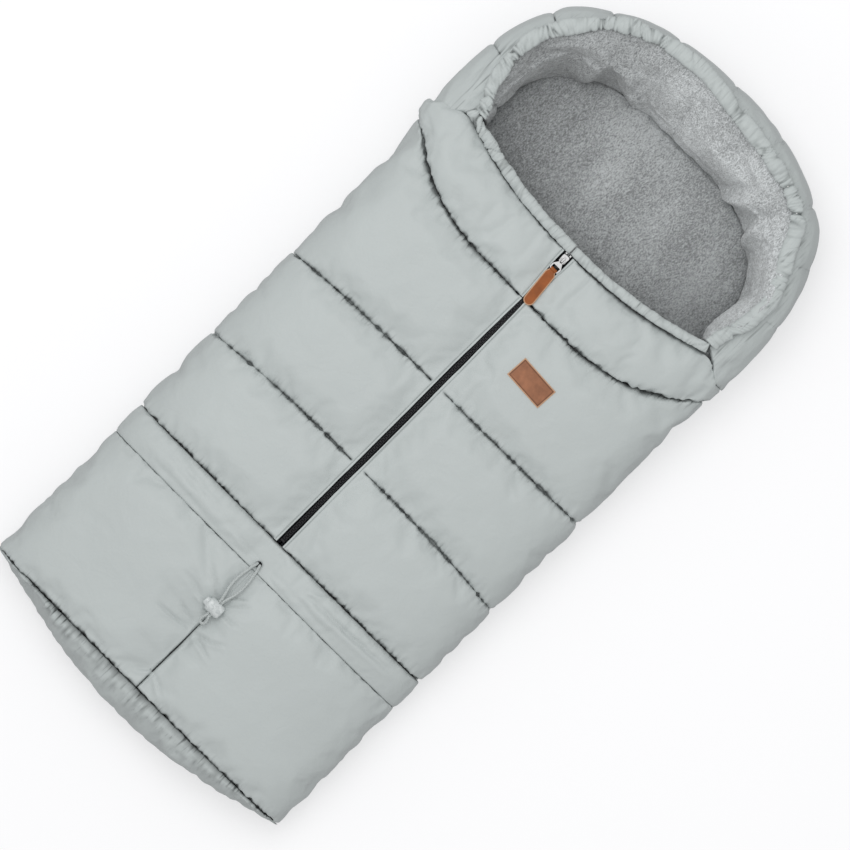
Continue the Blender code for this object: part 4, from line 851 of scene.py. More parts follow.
def frontPlace(side, channels, edge, crown, depth, shares, seed=0.0, lip=True):
    rows = rowList(channels)
    tables = {}

    def place(u, v):
        first, last, share, fromSeam = rows[round(v * (len(rows) - 1))]
        guess = mixed(gauged(first), gauged(last), share)
        key = round(guess, 4)
        if key not in tables:
            tables[key] = sectionTable(guess, edge(guess))
        angles, lengths = tables[key]
        column = round(u * (len(shares) - 1))
        angle = float(np.interp(shares[column] * lengths[-1], lengths, angles))
        x = abs(skinPoint(angle, guess, 0.0, 1.0).x)
        y = mixed(first(x), last(x), share)
        gapToZip = x - edge(y)
        beyond = smoothStep(math.degrees(angle) / quilt["sideDegrees"])
        beside = smoothStep((gapToZip - (quilt["lip"] if lip else 0.0)) / quilt["thinReach"])
        # the channels are flatter where they turn over the sides
        aside = smoothStep((x - quilt["flatX"]) / quilt["flatReach"]) if lip else 0.0
        puff = crown * channel(share, 4.0) * beside * beyond * (1.0 - quilt["flat"] * aside)
        toSeam = min(share, 1.0 - share) * (last(x) - first(x))
        near = max(0.0, 1.0 - toSeam / quilt["seamNear"]) ** 1.5 * beside
        fade = smoothStep((gapToZip - 0.003) / quilt["zipFade"][side]) if lip else 1.0
        underCord = smoothStep((y - quilt["cordY"]) / quilt["cordReach"])
        # the seams run out towards the hood's ends and, on the right, the collar's runs out at the side
        smooth = 1.0 - quilt["cornerFade"][side] * cornerShare(x) * smoothStep((y - 0.238) / 0.012)
        if lip and y > 0.18:
            smooth *= 1.0 - quilt["sideFade"][side] * smoothStep((x - 0.212) / 0.018)
        atHem = lip and share > 0.9 and gauged(last) > bag["hemY"] - 0.01
        if depth == 0.0:
            grooves = quilt["grooves"]
            groove = grooves[min(fromSeam, len(grooves) - 1)] * smooth
            if not lip and share > 0.9:
                groove *= 0.25
                near *= 0.4
            if atHem:
                groove *= quilt["hemGroove"][side]
                near *= 0.6
            puff -= groove * fade * (1.0 + 0.35 * rough(x * 90.0, y * 9.0, seed))
            if fromSeam < 2 and 0.0 < v < 1.0:
                y += 0.0007 * rough(x * 110.0, seed, y * 5.0)
            if lip:
                puff += quilt["lipRise"] * smoothStep((quilt["lip"] - 0.0003 - gapToZip) / 0.001)
                puff -= quilt["lipStitch"] * max(0.0, 1.0 - abs(gapToZip - quilt["lip"]) / 0.0009)
            elif column > len(shares) - 3:
                puff -= grooves[len(shares) - 1 - column] * (1.0 - underCord)
            puff += 0.0007 * rough(x * 40.0 + seed, y * 40.0, seed) * channel(share, 4.0) * beside * beyond
        # deep is painted shade: the seams' grooves, a band beside them, the lip's stitch line and the foot's
        # middle seam take dark colour where their shadow falls
        deep = smooth ** 1.5 if fromSeam < 2 and fade > 0.5 else 0.0
        if fromSeam == 2:
            deep = smooth * fade * max(0.0, 0.12 + 0.6 * rough(x * 26.0, y * 4.0, seed + 2.0))
        if atHem:
            deep *= quilt["hemShade"][side]
        if lip and abs(y - bag["collarY"]) < 0.03:
            deep *= mixed(0.62, 1.0, smoothStep((x - 0.03) / 0.09))
        if lip:
            deep *= 1.0 - 0.6 * smoothStep((x - 0.208) / 0.016)
        if lip and abs(gapToZip - quilt["lip"]) < 0.0006:
            deep = max(deep, 0.42 - 500.0 * abs(gapToZip - quilt["lip"]))
        if not lip:
            deep *= 0.16 if share > 0.9 else 1.0
            deep = max(deep, 1.0 - underCord if column > len(shares) - 2 else 0.0)
        point = skinPoint(angle, y, depth - puff, side) + cornerShift(angle, y, side)
        if not lip and column == len(shares) - 1:
            point.x -= side * 0.0010 * underCord
        return point, near, deep * (0.85 + 0.3 * rough(x * 70.0, y * 3.0, seed))

    return place


def frontWidth(y, edge):
    return float(sectionTable(y, edge(y))[1][-1])


def foldBlend(item, word, side):
    # the fabric turns with the flap over a strip about the fold line
    outward = Vector((side * (bag["flapHeadY"] - bag["flapFootY"]), -bag["flapHeadX"], 0.0)).normalized()
    foot = Vector((0.0, bag["flapFootY"], bag["topZ"]))
    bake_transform(item, "bag", word + "_flap", start=foot + outward * 0.004, end=foot - outward * 0.022)


def makePad(name, side, stops, edge, crown, seed, lip=True, lines=()):
    channels = seamChannels(stops, quilt["cell"])
    low, high = gauged(stops[0]), gauged(stops[-1])
    middle = 0.5 * (low + high)
    wide = frontWidth(middle, edge)
    shares = acrossShares(wide, quilt["cell"], quilt["lipWidths"] if lip else (0.0, *quilt["seamSteps"]))
    columns = len(shares) - 1
    rows = rowList(channels)
    place = frontPlace(side, channels, edge, crown, 0.0, shares, seed, lip)
    item = openSkin(name, columns, len(rows) - 1, place, (wide, high - low), upwards, nylon)
    lipColumn = columns - len(quilt["lipWidths"]) + 2 if lip else columns - 1

    def isHeld(u, v, spot):
        column = round(u * columns)
        return rows[round(v * (len(rows) - 1))][3] < 2 or column == 0 or column >= lipColumn

    puffUp(item, heldPoints(item, isHeld), **quilt["padding"])
    inside = frontPlace(side, channels, edge, 0.0, quilt["thick"], shares)

    def insidePlace(u, v):
        point = inside(u, v)[0]
        if not lip:
            return point
        gapToZip = abs(point.x) - edge(point.y)
        thin = place(u, v)[0] - Vector((0.0, 0.0, quilt["lipThick"]))
        if u > lipColumn / columns - 0.001:
            return thin
        return thin.lerp(point, smoothStep((gapToZip - 0.008) / quilt["thinReach"]))

    closeSkin(item, insidePlace)
    refine(item)
    crinkle(item, fabricLook["folds"], fabricLook["puckers"], seed, lines)
    return item


def collarTop(x):
    # the collar's upper edge: the hem, then down along the hood's end and a little under it
    return min(hemSeam(x), bag["hoodY"]) - 0.0005 - cornerDrop(x) + 0.0022 * cornerShare(x)


def makeFront():
    for word, side, seed in (("left", -1.0, 1.0), ("right", 1.0, 2.0)):
        stops = [at(bag["bandY"] + 0.0005), at(bag["seamLowY"], quilt["lowTilt"])]
        stops += [at(bag["seamHighY"], quilt["highTilt"][side]), lambda x: collarSeam(x) - 0.0005]
        item = makePad("frontQuilt" + word.title(), side, stops, zipEdge, quilt["crown"], seed)
        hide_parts("front_" + word + "_side", "front_" + word + "_flap")
        foldBlend(item, word, side)
        stops = [lambda x: collarSeam(x) + 0.0005, collarTop]
        item = makePad("collarQuilt" + word.title(), side, stops, zipEdge, quilt["collarCrown"], seed + 4.0)
        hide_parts("collar_" + word + "_side", "collar_" + word + "_flap")
        foldBlend(item, word, side)


makeFront()
print("front")

# Foot: two quilts, the cord casing above them and the gathered gusset below

foot = {
    "crown": 0.0035, "cell": 0.0042, "pattern": 0.6,
    # folds: x and y of both ends, depth and width
    "rays": (
        (-0.054, -0.394, -0.004, -0.390, 0.0036, 0.0022), (-0.037, -0.374, -0.005, -0.379, 0.0029, 0.0020),
        (-0.042, -0.317, -0.007, -0.333, 0.0027, 0.0022), (-0.030, -0.352, -0.008, -0.356, 0.0022, 0.0018),
        (-0.024, -0.330, -0.005, -0.340, 0.0027, 0.0015), (0.002, -0.391, 0.042, -0.374, 0.0034, 0.0021),
        (0.003, -0.391, 0.041, -0.400, 0.0031, 0.0021), (0.004, -0.341, 0.031, -0.318, 0.0027, 0.0018),
        (0.006, -0.352, 0.036, -0.348, 0.0022, 0.0020), (0.002, -0.331, 0.021, -0.316, 0.0027, 0.0014),
        (-0.060, -0.345, -0.012, -0.352, 0.0018, 0.0030), (0.000, -0.455, 0.030, -0.470, 0.0022, 0.0020),
        (-0.020, -0.470, 0.000, -0.455, 0.0022, 0.0020)),
    "bandCrown": 0.0022, "bandDip": 0.0015, "bandFlat": 0.013, "bandReach": 0.030, "bandHeld": 0.012,
    "pleats": (
        (-0.213, -0.259, -0.021, -0.269, 0.0016, 0.0042), (-0.056, -0.270, -0.003, -0.274, 0.0016, 0.0020),
        (-0.150, -0.250, -0.060, -0.262, 0.0011, 0.0030), (0.060, -0.264, 0.208, -0.258, 0.0042, 0.0032),
        (0.059, -0.261, 0.088, -0.244, 0.0014, 0.0020), (0.010, -0.272, 0.120, -0.279, 0.0011, 0.0030),
        (-0.180, -0.277, -0.080, -0.281, 0.0010, 0.0030)),
    "bandPadding": {"pressure": 3.0, "slack": 0.02, "cap": 0.004},
    "bandFolds": {"creases": 0.0003, "puckers": 0.0011, "seed": 21.0},
    "gussetRows": 22, "gussetThick": 0.010,
    "gussetPadding": {"pressure": 4.0, "slack": 0.05, "cap": 0.007},
    "gussetFolds": {"creases": 0.0005, "puckers": 0.0022, "seed": 31.0, "stretch": (170.0, 60.0, 14.0)},
}


def makeFoot():
    for word, side, seed in (("left", -1.0, 11.0), ("right", 1.0, 12.0)):
        stops = [at(bag["gussetY"] + 0.0004), at(bag["foldY"] - 0.0004)]
        name = "footQuilt" + word.title()
        item = makePad(name, side, stops, middleEdge, foot["crown"], seed, lip=False, lines=foot["rays"])
        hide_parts("foot_" + word)
        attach(item, "bag")


def crossShares():
    # shares from one side seam to the other of a full-width piece
    wide = frontWidth(bag["foldY"], middleEdge)
    count = 2 * round(wide / foot["cell"])
    return [2.0 * index / count - 1.0 for index in range(count + 1)]


def crossPlace(low, high, rows, depth, crown, dip):
    shares = crossShares()
    tables = {}

    def place(u, v):
        share = rows[round(v * (len(rows) - 1))]
        y = mixed(low, high, share)
        key = round(y, 4)
        if key not in tables:
            tables[key] = sectionTable(y, 0.0001)
        angles, lengths = tables[key]
        spread = shares[round(u * (len(shares) - 1))]
        side = 1.0 if spread > 0.0 else -1.0
        angle = float(np.interp((1.0 - abs(spread)) * lengths[-1], lengths, angles))
        if abs(spread) < 0.0001:
            angle = math.pi / 2.0
        x = abs(skinPoint(angle, y, 0.0, 1.0).x)
        beyond = smoothStep(math.degrees(angle) / quilt["sideDegrees"])
        offMiddle = smoothStep((x - foot["bandFlat"]) / foot["bandReach"])
        sunk = dip * (1.0 - offMiddle) * (1.0 if share > 0.5 else channel(share, 2.0))
        puff = crown * beyond * offMiddle * channel(share, 3.0) - sunk
        near = max(0.0, 1.0 - (1.0 - share) * (high - low) / 0.02) ** 1.5
        return skinPoint(angle, y, depth - puff, side), near * 0.6

    return place, len(shares) - 1


def makeBand():
    low = bag["foldY"] + 0.0004
    high = bag["bandY"] - 0.0005
    rows = channelShares(high - low, foot["cell"])
    place, columns = crossPlace(low, high, rows, 0.0, foot["bandCrown"], foot["bandDip"])

    def outer(u, v):
        point, near = place(u, v)
        row = round(v * (len(rows) - 1))
        fromTop = len(rows) - 1 - row
        if fromTop < 3:
            point.z -= quilt["grooves"][fromTop]
            point.y += 0.0005 * rough(point.x * 130.0, 3.0)
        if row == 0:
            point.y -= 0.0013
            point.z -= 0.0010
        if row in (1, 2):
            point.z += 0.0010
        # the top row takes painted shade for the groove of the band's seam
        return point, near, 1.0 if fromTop < 1 else 0.0

    size = (foot["pattern"], high - low)
    item = openSkin("cordCasing", columns, len(rows) - 1, outer, size, upwards, nylon)

    def isHeld(u, v, spot):
        row = round(v * (len(rows) - 1))
        return row < 3 or row > len(rows) - 3 or abs(spot.x) < foot["bandHeld"] or u in (0.0, 1.0)

    puffUp(item, heldPoints(item, isHeld), **foot["bandPadding"])
    under, columns = crossPlace(low, high, rows, quilt["thick"], 0.0, 0.0)
    closeSkin(item, lambda u, v: under(u, v)[0])
    refine(item)
    crinkle(item, **foot["bandFolds"], lines=foot["pleats"])
    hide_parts("cord_casing")
    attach(item, "bag")


def gussetPlace(depth):
    shares = crossShares()
    angles, lengths = sectionTable(bag["gussetY"], 0.0001)

    def place(u, v):
        spread = shares[round(u * (len(shares) - 1))]
        side = 1.0 if spread > 0.0 else -1.0
        angle = float(np.interp((1.0 - abs(spread)) * lengths[-1], lengths, angles))
        top = skinPoint(angle, bag["gussetY"], 0.0, side)
        arc = 1.0 - (abs(top.x) / bag["footHalf"]) ** 2.0
        lean = math.sin(v * math.pi / 2.0) ** 0.46
        z = mixed(top.z - 0.0012, frontBase(), v)
        fine = rough(top.x * 190.0, v * 3.0, 9.0)
        gather = 0.0016 * rough(top.x * 60.0, v * 2.0, 4.0) * (1.0 - v) ** 2
        gather += 0.0010 * fine * (1.0 - v) ** 3
        y = bag["gussetY"] - 0.0006 - (bag["bulge"] * arc * lean - 0.0006) - gather * smoothStep(v * 9.0)
        if depth == 0.0 and v == 0.0:
            z -= 0.0014 + 0.0008 * rough(top.x * 70.0, 2.0)
        point = Vector((top.x, y, z))
        if depth > 0.0:
            back = min(bag["gussetY"] - 0.0003, y + depth * smoothStep(v * 4.0))
            point = Vector((top.x * 0.985, back, mixed(mixed(frontBase(), top.z, 0.9), frontBase(), v)))
        # painted shade in the pinches of the gather and along its top seam
        pinchShade = max(0.0, -fine) * 1.2 * (1.0 - v) ** 5
        if v == 0.0:
            pinchShade = max(pinchShade, 0.6 + 0.5 * rough(top.x * 45.0, 5.0))
        return point, (1.0 - v) ** 2.0, pinchShade

    return place, len(shares) - 1


def makeGusset():
    def outwards(spot):
        return Vector((0.0, -1.0, 0.3))

    place, columns = gussetPlace(0.0)
    size = (foot["pattern"], 0.08)
    item = openSkin("footGusset", columns, foot["gussetRows"], place, size, outwards, nylon)
    puffUp(item, heldPoints(item, onRim), **foot["gussetPadding"])
    under = gussetPlace(foot["gussetThick"])[0]
    closeSkin(item, lambda u, v: under(u, v)[0])
    refine(item)
    crinkle(item, **foot["gussetFolds"])
    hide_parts("foot_gusset")
    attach(item, "bag")


makeFoot()
makeBand()
makeGusset()
print("foot")

# Hood: padded wall with radial seams, fleece lining in folds, gathered casing


def floorWidth(degrees):
    share = smoothStep(max(0.0, math.sin(math.radians(degrees))) ** 1.5)
    return max(mixed(hood["floorSide"], hood["floorHead"], share), rimInset(degrees) + 0.006)


def wallInside(degrees, up, extra):
    floor = floorWidth(degrees)
    heights = (0.0, 0.15, 0.42, 0.70, 0.90, 1.0)
    share = float(np.interp(up, heights, (1.0, 0.94, 0.78, 0.54, 0.26, 0.0)))
    inset = mixed(rimInset(degrees) + 0.0035, floor, share)
    return hoodPlace(degrees, inset + extra, mixed(frontBase(), rimTop(degrees), up))


def wallStations():
    # degrees of the grid columns, close together beside the radial seams, with the rank from the seam
    stations = []
    for low, high in zip(hood["seams"], hood["seams"][1:]):
        length = (outlinePoint(high) - outlinePoint(low)).length
        close = (0.0, *hood["wallSteps"])
        count = max(3, round((length - 2.0 * close[-1]) / hood["wallCell"]))
        even = [mixed(close[-1], length - close[-1], index / count) for index in range(1, count)]
        spots = [*close, *even, *(length - step for step in reversed(close[1:]))]
        for index, spot in enumerate(spots):
            stations.append((mixed(low, high, spot / length), min(index, len(spots) - index)))
    stations.append((hood["seams"][-1], 0))
    return stations


def makeHoodWall():
    stations = wallStations()
    rows = hood["wallRows"]
    turns = [smoothStep(row / rows) * 0.35 + row / rows * 0.65 for row in range(rows + 1)]

    def place(u, v):
        degrees, fromSeam = stations[round(u * (len(stations) - 1))]
        up = turns[round(v * rows)]
        lows = [seam for seam in hood["seams"] if seam <= degrees + 0.001]
        low = lows[-1] if degrees < 179.99 else hood["seams"][-2]
        high = hood["seams"][hood["seams"].index(low) + 1]
        share = (degrees - low) / (high - low)
        crown = 0.0018 * channel(share, 3.0)
        left = smoothStep((degrees - 92.0) / 16.0)
        if fromSeam < 2:
            crown = (-0.0030, -0.0008)[fromSeam] * left
        crown += mixed(0.0055, 0.0024, left) * rough(degrees * 0.055, up * 1.5, 6.0)
        crown *= 1.0 - nearEnd(degrees, 8.0)
        crown *= smoothStep(up / 0.12) * smoothStep((1.0 - up) / 0.10)
        toSeam = min(share, 1.0 - share) * (high - low) * hood["perDegree"]
        near = max(0.0, 1.0 - toSeam / 0.018) ** 1.5
        near = max(near, smoothStep((up - 0.72) / 0.28))
        deep = 0.0
        # painted shade along the radial seams, strongest on the left
        if fromSeam == 0 and 0.12 < up < 0.93 and 1.0 < degrees < 179.0:
            deep = mixed(0.15, 1.0, left) * max(0.0, 0.6 + 1.2 * rough(up * 6.0, degrees, 3.0))
        return wallOutside(degrees, up, crown), near, deep

    def outwards(spot):
        return spot - Vector((0.0, bag["hoodY"], 0.03))

    item = openSkin("hoodWall", len(stations) - 1, rows, place, (0.95, 0.10), outwards, nylon)

    def isHeld(u, v, spot):
        # the right side's seams are slack
        degrees, rank = stations[round(u * (len(stations) - 1))]
        stitched = rank == 0 and (degrees > 100.0 or degrees < 1.0)
        return stitched or v < 0.001 or v > 0.999

    puffUp(item, heldPoints(item, isHeld), **hood["wallPadding"])

    def under(u, v):
        degrees = stations[round(u * (len(stations) - 1))][0]
        return wallInside(degrees, turns[round(v * rows)], -hood["wallBehind"])

    closeSkin(item, under)
    refine(item)
    crinkle(item, **hood["wallFolds"])
    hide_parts("hood_wall")
    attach(item, "bag")


def liningDegrees(u):
    return mixed(hood["liningEnd"], 180.0 - hood["liningEnd"], u)


def makeHoodLining():
    def place(u, v):
        degrees = liningDegrees(u)
        stand = 0.0
        for middle, reach, lean, height in hood["liningFolds"]:
            aside = (degrees - middle - lean * 30.0 * (v - 0.5)) / reach
            stand = max(stand, height * math.exp(-aside * aside * 1.6))
        stand *= math.sin(math.pi * min(1.0, max(0.0, v))) ** 0.7
        point = wallInside(degrees, v, hood["liningClear"] + stand)
        point.z += 0.0015 * rough(degrees * 0.11, v * 2.0, 5.0) * math.sin(math.pi * v)
        # on the right it spills over the rim's end
        spill = smoothStep((degrees - 5.0) / 7.0) * smoothStep((40.0 - degrees) / 9.0)
        last = smoothStep((v - hood["spillRow"]) / (1.0 - hood["spillRow"]))
        over = last * spill
        if over > 0.0:
            reach = rimInset(degrees) - 0.0015 + 0.004 * rough(degrees * 0.25, 1.0)
            inset = mixed(hood["spillInset"], reach, last)
            crest = hoodPlace(degrees, inset, bag["rimZ"] + hood["spillHeight"])
            crest.z -= 0.0040 * smoothStep((v - 0.93) / 0.07)
            point = point.lerp(crest, over)
        # the second value is painted light: pale on the right and in painted shade on the left from 95
        # degrees on
        return point, 1.0 - 0.85 * smoothStep((degrees - 95.0) / 35.0)

    def toMiddle(spot):
        return Vector((0.0, bag["hoodY"], 0.12)) - spot

    columns, rows = hood["liningColumns"], hood["liningRows"]
    item = openSkin("hoodLining", columns, rows, place, (0.80, 0.11), toMiddle, fleece)
    puffUp(item, heldPoints(item, onRim), **hood["liningPadding"])
    closeSkin(item, lambda u, v: wallInside(liningDegrees(u), v, -hood["liningBehind"]))
    refine(item)
    pile(item, **hood["liningPile"])
    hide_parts("hood_lining")
    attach(item, "bag")


def pile(item, height, seed):
    # soft uneven surface of the fleece
    mesh = item.data
    outside = mesh.attributes["skin"].data
    grown = []
    for index, point in enumerate(mesh.vertices):
        spot = point.co
        lumps = rough(spot.x * 130.0 + seed, spot.y * 130.0, spot.z * 130.0)
        tufts = rough(spot.x * 330.0, spot.y * 330.0 + seed, spot.z * 330.0)
        grown.append(spot + point.normal * height * outside[index].value * (0.6 * lumps + 0.4 * tufts))
    movePoints(mesh, grown)


def ruffle(x, y, seed):
    # 0 in the pinched valleys of a gather and near 1 on its rounded folds
    coarse = abs(rough(x * 88.0, y, seed)) * 2.0
    small = abs(rough(x * 215.0, y * 1.4, seed + 5.0)) * 2.0
    return min(1.0, coarse) ** 0.6 * 0.62 + min(1.0, small) ** 0.7 * 0.38


def runLengths(points):
    # how far along a line each of its points lies
    lengths = [0.0]
    for before, after in zip(points, points[1:]):
        lengths.append(lengths[-1] + (after - before).length)
    return lengths


def closeTube(skin):
    # joins a rolled grid along its length and fills its ends
    bmesh.ops.remove_doubles(skin, verts=skin.verts, dist=0.000005)
    bmesh.ops.holes_fill(skin, edges=[edge for edge in skin.edges if edge.is_boundary], sides=0)
    bmesh.ops.recalc_face_normals(skin, faces=skin.faces)


def makeCasing(name, path, wide, high, columns, sides, gather, seed):
    # a gathered tube round an elastic or drawn hem; path gives its centre, side way, size, gathers and hang
    shares = [index / 200.0 for index in range(201)]
    lengths = runLengths([path(share)[0] for share in shares])

    def place(u, v):
        centre, across, swell, tight, below = path(u)
        run = float(np.interp(u, shares, lengths))
        turn = 2.0 * math.pi * v
        lean = 0.010 * rough(run * 30.0, seed) * math.cos(turn)
        fold = ruffle(run + lean, math.cos(turn) * 0.25 + 0.5, seed)
        fold += 0.2 * rough(run * 40.0, math.sin(turn) * 0.4, seed)
        grow = gather * tight * (fold - 0.62)
        outwards = across * math.cos(turn) * (wide * swell + grow * 1.2)
        wander = across * 0.0016 * rough(run * 28.0, seed + 3.0)
        # painted shade in the gather's valleys
        valley = max(0.0, min(0.9, (0.50 - fold) * 2.6)) * tight
        up = math.sin(turn) * (high * swell + grow) - below * max(0.0, -math.sin(turn))
        return centre + outwards + wander + Vector((0.0, 0.0, up)), fold, valley

    skin = gridSkin(columns, sides, place, (lengths[-1], 0.06))
    closeTube(skin)
    return makeObject(name, skin, nylon)


def gathered(degrees):
    # how tightly the rim is gathered at a place: bunches with smoother lengths between them
    amount = 0.14 + 0.16 * max(0.0, rough(degrees * 0.2, 7.0))
    for middle, reach, strength in hood["bunches"]:
        amount = max(amount, strength * math.exp(-((degrees - middle) / reach) ** 2))
    return amount


def rimPath(share):
    degrees = mixed(0.8, 179.2, share)
    ending = smoothStep((8.0 - min(degrees, 180.0 - degrees)) / 8.0)
    wide = 1.0 + 0.16 * rough(degrees * 0.10, 2.0) - 0.15 * ending
    wide += 0.10 - 0.18 * gathered(degrees)
    height = bag["rimZ"] + 0.0003 + rimTop(degrees) - hood["rimTop"]
    return hoodPlace(degrees, rimInset(degrees), height), inwards(degrees), wide, gathered(degrees), 0.0022


def makeHoodCasing():
    item = makeCasing("hoodCasing", rimPath, **hood["casing"])
    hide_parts("hood_hem")
    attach(item, "bag")


hem = {
    "casing": {"wide": 0.0070, "high": 0.0042, "columns": 260, "sides": 18, "gather": 0.0036},
    "aboveSeam": 0.0072, "end": {"left": 0.202, "right": 0.194}, "lift": {"left": 0.0090, "right": 0.0065},
}


def hemPath(word, side):
    def path(share):
        x = mixed(0.0010, hem["end"][word], share)
        lift = hem["lift"][word] * smoothStep((x - 0.150) / 0.046)
        here = Vector((side * x, hemSeam(x) + hem["aboveSeam"], bag["topZ"] + 0.001 + lift))
        there = Vector((side * (x + 0.001), hemSeam(x + 0.001) + hem["aboveSeam"], here.z))
        along = (there - here).normalized()
        tight = mixed(0.30, 1.0, smoothStep((x - 0.10) / 0.08)) if side < 0.0 else 0.25
        thick = (0.86 if side > 0.0 else 1.0) + 0.12 * rough(x * 30.0, side)
        # the casing hangs down to the collar's edge, which falls away towards the side
        y = min(hemSeam(x), bag["hoodY"])
        angle = angleAt(x, y)
        edge = skinPoint(angle, y, 0.0, side) + cornerShift(angle, y, side)
        below = max(0.0, here.z - hem["casing"]["high"] - edge.z + 0.0050)
        if side < 0.0:
            below *= smoothStep((0.199 - x) / 0.012)
        return here, Vector((-along.y, along.x, 0.0)), thick, tight, below
    return path


def makeHems():
    for word, side, seed in (("left", -1.0, 6.0), ("right", 1.0, 7.0)):
        item = makeCasing("hem" + word.title(), hemPath(word, side), **hem["casing"], seed=seed)
        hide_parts("hem_" + word)
        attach(item, word + "_flap")


makeHoodWall()
makeHoodLining()
makeHoodCasing()
makeHems()
print("hood")

# Back: padded shell the bag lies on, and the fleece that covers it

back = {
    "edge": 0.010, "groove": 0.0028, "rows": 150, "columns": 76,
    "seams": (-0.484, -0.365, -0.244, -0.113, 0.020, 0.160, 0.290, 0.410),
    "notch": 0.0040, "notchWide": 0.006, "grooveWide": 0.0030, "seamNear": 0.020,
    "liningColumns": 110, "liningRows": 230, "liningPile": {"height": 0.0011, "seed": 9.0},
}


def outlineHalf(y):
    # half of the back's width at any y, from the bulged foot to the round head
    if y > bag["hoodY"]:
        power = hood["squareness"]
        rest = 1.0 - min(1.0, (y - bag["hoodY"]) / (bag["headY"] - bag["hoodY"])) ** power
        return bag["hoodHalf"] * max(0.0, rest) ** (1.0 / power)
    if y < bag["gussetY"]:
        return bag["footHalf"] * math.sqrt(max(0.0, 1.0 - (bag["gussetY"] - y) / bag["bulge"]))
    return halfWidth(y)


def fromRim(x, y):
    # distance to the back's outline
    distance = outlineHalf(y) - abs(x)
    if y > bag["hoodY"]:
        power = hood["squareness"]
        deep = bag["headY"] - bag["hoodY"]
        share = (abs(x) / bag["hoodHalf"]) ** power + ((y - bag["hoodY"]) / deep) ** power
        distance = (1.0 - share ** (1.0 / power)) * deep
    arc = bag["gussetY"] - bag["bulge"] * (1.0 - (x / bag["footHalf"]) ** 2.0)
    return max(0.0, min(distance, y - arc))


def backRow(share):
    # rows crowd together towards both rounded ends
    low = bag["gussetY"] - bag["bulge"]
    crowded = 0.5 - 0.5 * math.cos(math.pi * share)
    return mixed(low, bag["headY"], mixed(share, crowded, 0.55))


def nearSeam(y, seams, wide):
    return max(math.exp(-((y - seam) / wide) ** 2) for seam in seams)


def backPlace(top):
    def place(u, v):
        y = backRow(v)
        across = 2.0 * u - 1.0
        notch = back["notch"] * nearSeam(y, back["seams"][1:6], back["notchWide"])
        spread = math.sin(abs(across) * math.pi / 2.0) * 0.4 + abs(across) * 0.6
        x = math.copysign(spread, across) * (outlineHalf(y) - notch)
        depth = min(1.0, fromRim(x, y) / back["edge"])
        curve = math.sqrt(max(0.0, 1.0 - (1.0 - depth) ** 2.0))
        middle = bag["backThick"] / 2.0
        if top:
            return Vector((x, y, middle + middle * curve)), 0.0
        groove = nearSeam(y, back["seams"], back["grooveWide"])
        swell = min(abs(y - seam) for seam in back["seams"])
        rippled = 0.0012 * rough(x * 30.0, y * 30.0, 7.0) + 0.0012
        near = max(0.0, 1.0 - swell / back["seamNear"]) ** 1.5
        lift = (back["groove"] * groove + rippled * near) * depth
        return Vector((x, y, middle - middle * curve + lift)), near
    return place


def makeBack():
    columns, rows = back["columns"], back["rows"]
    item = openSkin("backShell", columns, rows, backPlace(False), (0.47, 1.04), downwards, nylon)
    top = backPlace(True)
    closeSkin(item, lambda u, v: top(u, v)[0])
    weld(item)
    refine(item)
    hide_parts("back_shell")
    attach(item, "bag")


def makeFloorCurve():
    # how wide the fleece floor is along the hood, out to the foot of the hood's lining
    spots = [hoodPlace(index * 0.5, floorWidth(index * 0.5) + 0.0046, frontBase()) for index in range(181)]
    return [spot.y for spot in spots], [spot.x for spot in spots]


floorCurve = makeFloorCurve()


def floorHalf(y):
    # half of the fleece floor's width
    if y > bag["hoodY"]:
        return float(np.interp(y, *floorCurve))
    side = bag["bodyHalf"] - bag["quiltThick"] - bag["liningThick"] - 0.0009
    return mixed(side, floorCurve[1][0], smoothStep((y - bag["hemY"] + bag["backThick"]) / 0.045))


def makeBackLining():
    low = bag["gussetY"] + bag["liningThick"]
    high = floorCurve[0][-1]

    def place(u, v):
        share = math.sin(v * math.pi / 2.0)
        y = mixed(low, high, mixed(v, share, 0.6))
        half = floorHalf(y)
        across = 2.0 * u - 1.0
        x = across * half
        rim = min(half - abs(x), y - low, (high - y) * 1.6)
        z = frontBase() + bag["liningThick"] * (0.25 + 0.75 * smoothStep(rim / 0.008))
        z += 0.0035 * smoothStep(rim / 0.05) * smoothStep((y - 0.15) / 0.08)
        z += 0.0014 * rough(x * 14.0, y * 14.0, 8.0) * smoothStep(rim / 0.03)
        # painted light: the fleece is palest in the middle of the hood and in painted shade towards its edges
        away = math.hypot((x - 0.025) / 0.17, (y - 0.372) / 0.14)
        paintedLight = 0.95 - 0.75 * smoothStep(away - 0.15) + 0.2 * rough(x * 12.0, y * 12.0)
        return Vector((x, y, z)), max(0.05, paintedLight)

    columns, rows = back["liningColumns"], back["liningRows"]
    item = openSkin("backLining", columns, rows, place, (0.40, 0.92), upwards, shadedBackFleece)

    def under(u, v):
        point = place(u, v)[0]
        return Vector((point.x, point.y, frontBase()))

    closeSkin(item, under)
    weld(item)
    refine(item)
    pile(item, **back["liningPile"])
    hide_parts("back_lining")
    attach(item, "bag")


lining = {
    "zipEdge": 0.0145, "clear": 0.0006, "columns": 44, "rows": 60,
    "lastRows": (0.9867, 0.9895, 0.9925, 0.996, 1.0), "footRows": 40, "pile": 0.0008,
}


def hemReach(x):
    # the front's lining runs on to the hem, but not at the corners
    return mixed(0.0055, -0.0005, smoothStep((abs(x) - 0.165) / 0.025))


def toHem(point):
    # the lining's last rows climb in front of the collar's end to the hem
    end = min(hemSeam(point.x), bag["hoodY"])
    climb = 0.0115 * smoothStep((point.y - end + 0.0015) / 0.0065)
    return point + Vector((0.0, 0.0, climb * (1.0 - smoothStep((abs(point.x) - 0.155) / 0.03))))


def liningTop(x):
    return min(hemSeam(x), bag["hoodY"]) + hemReach(x)


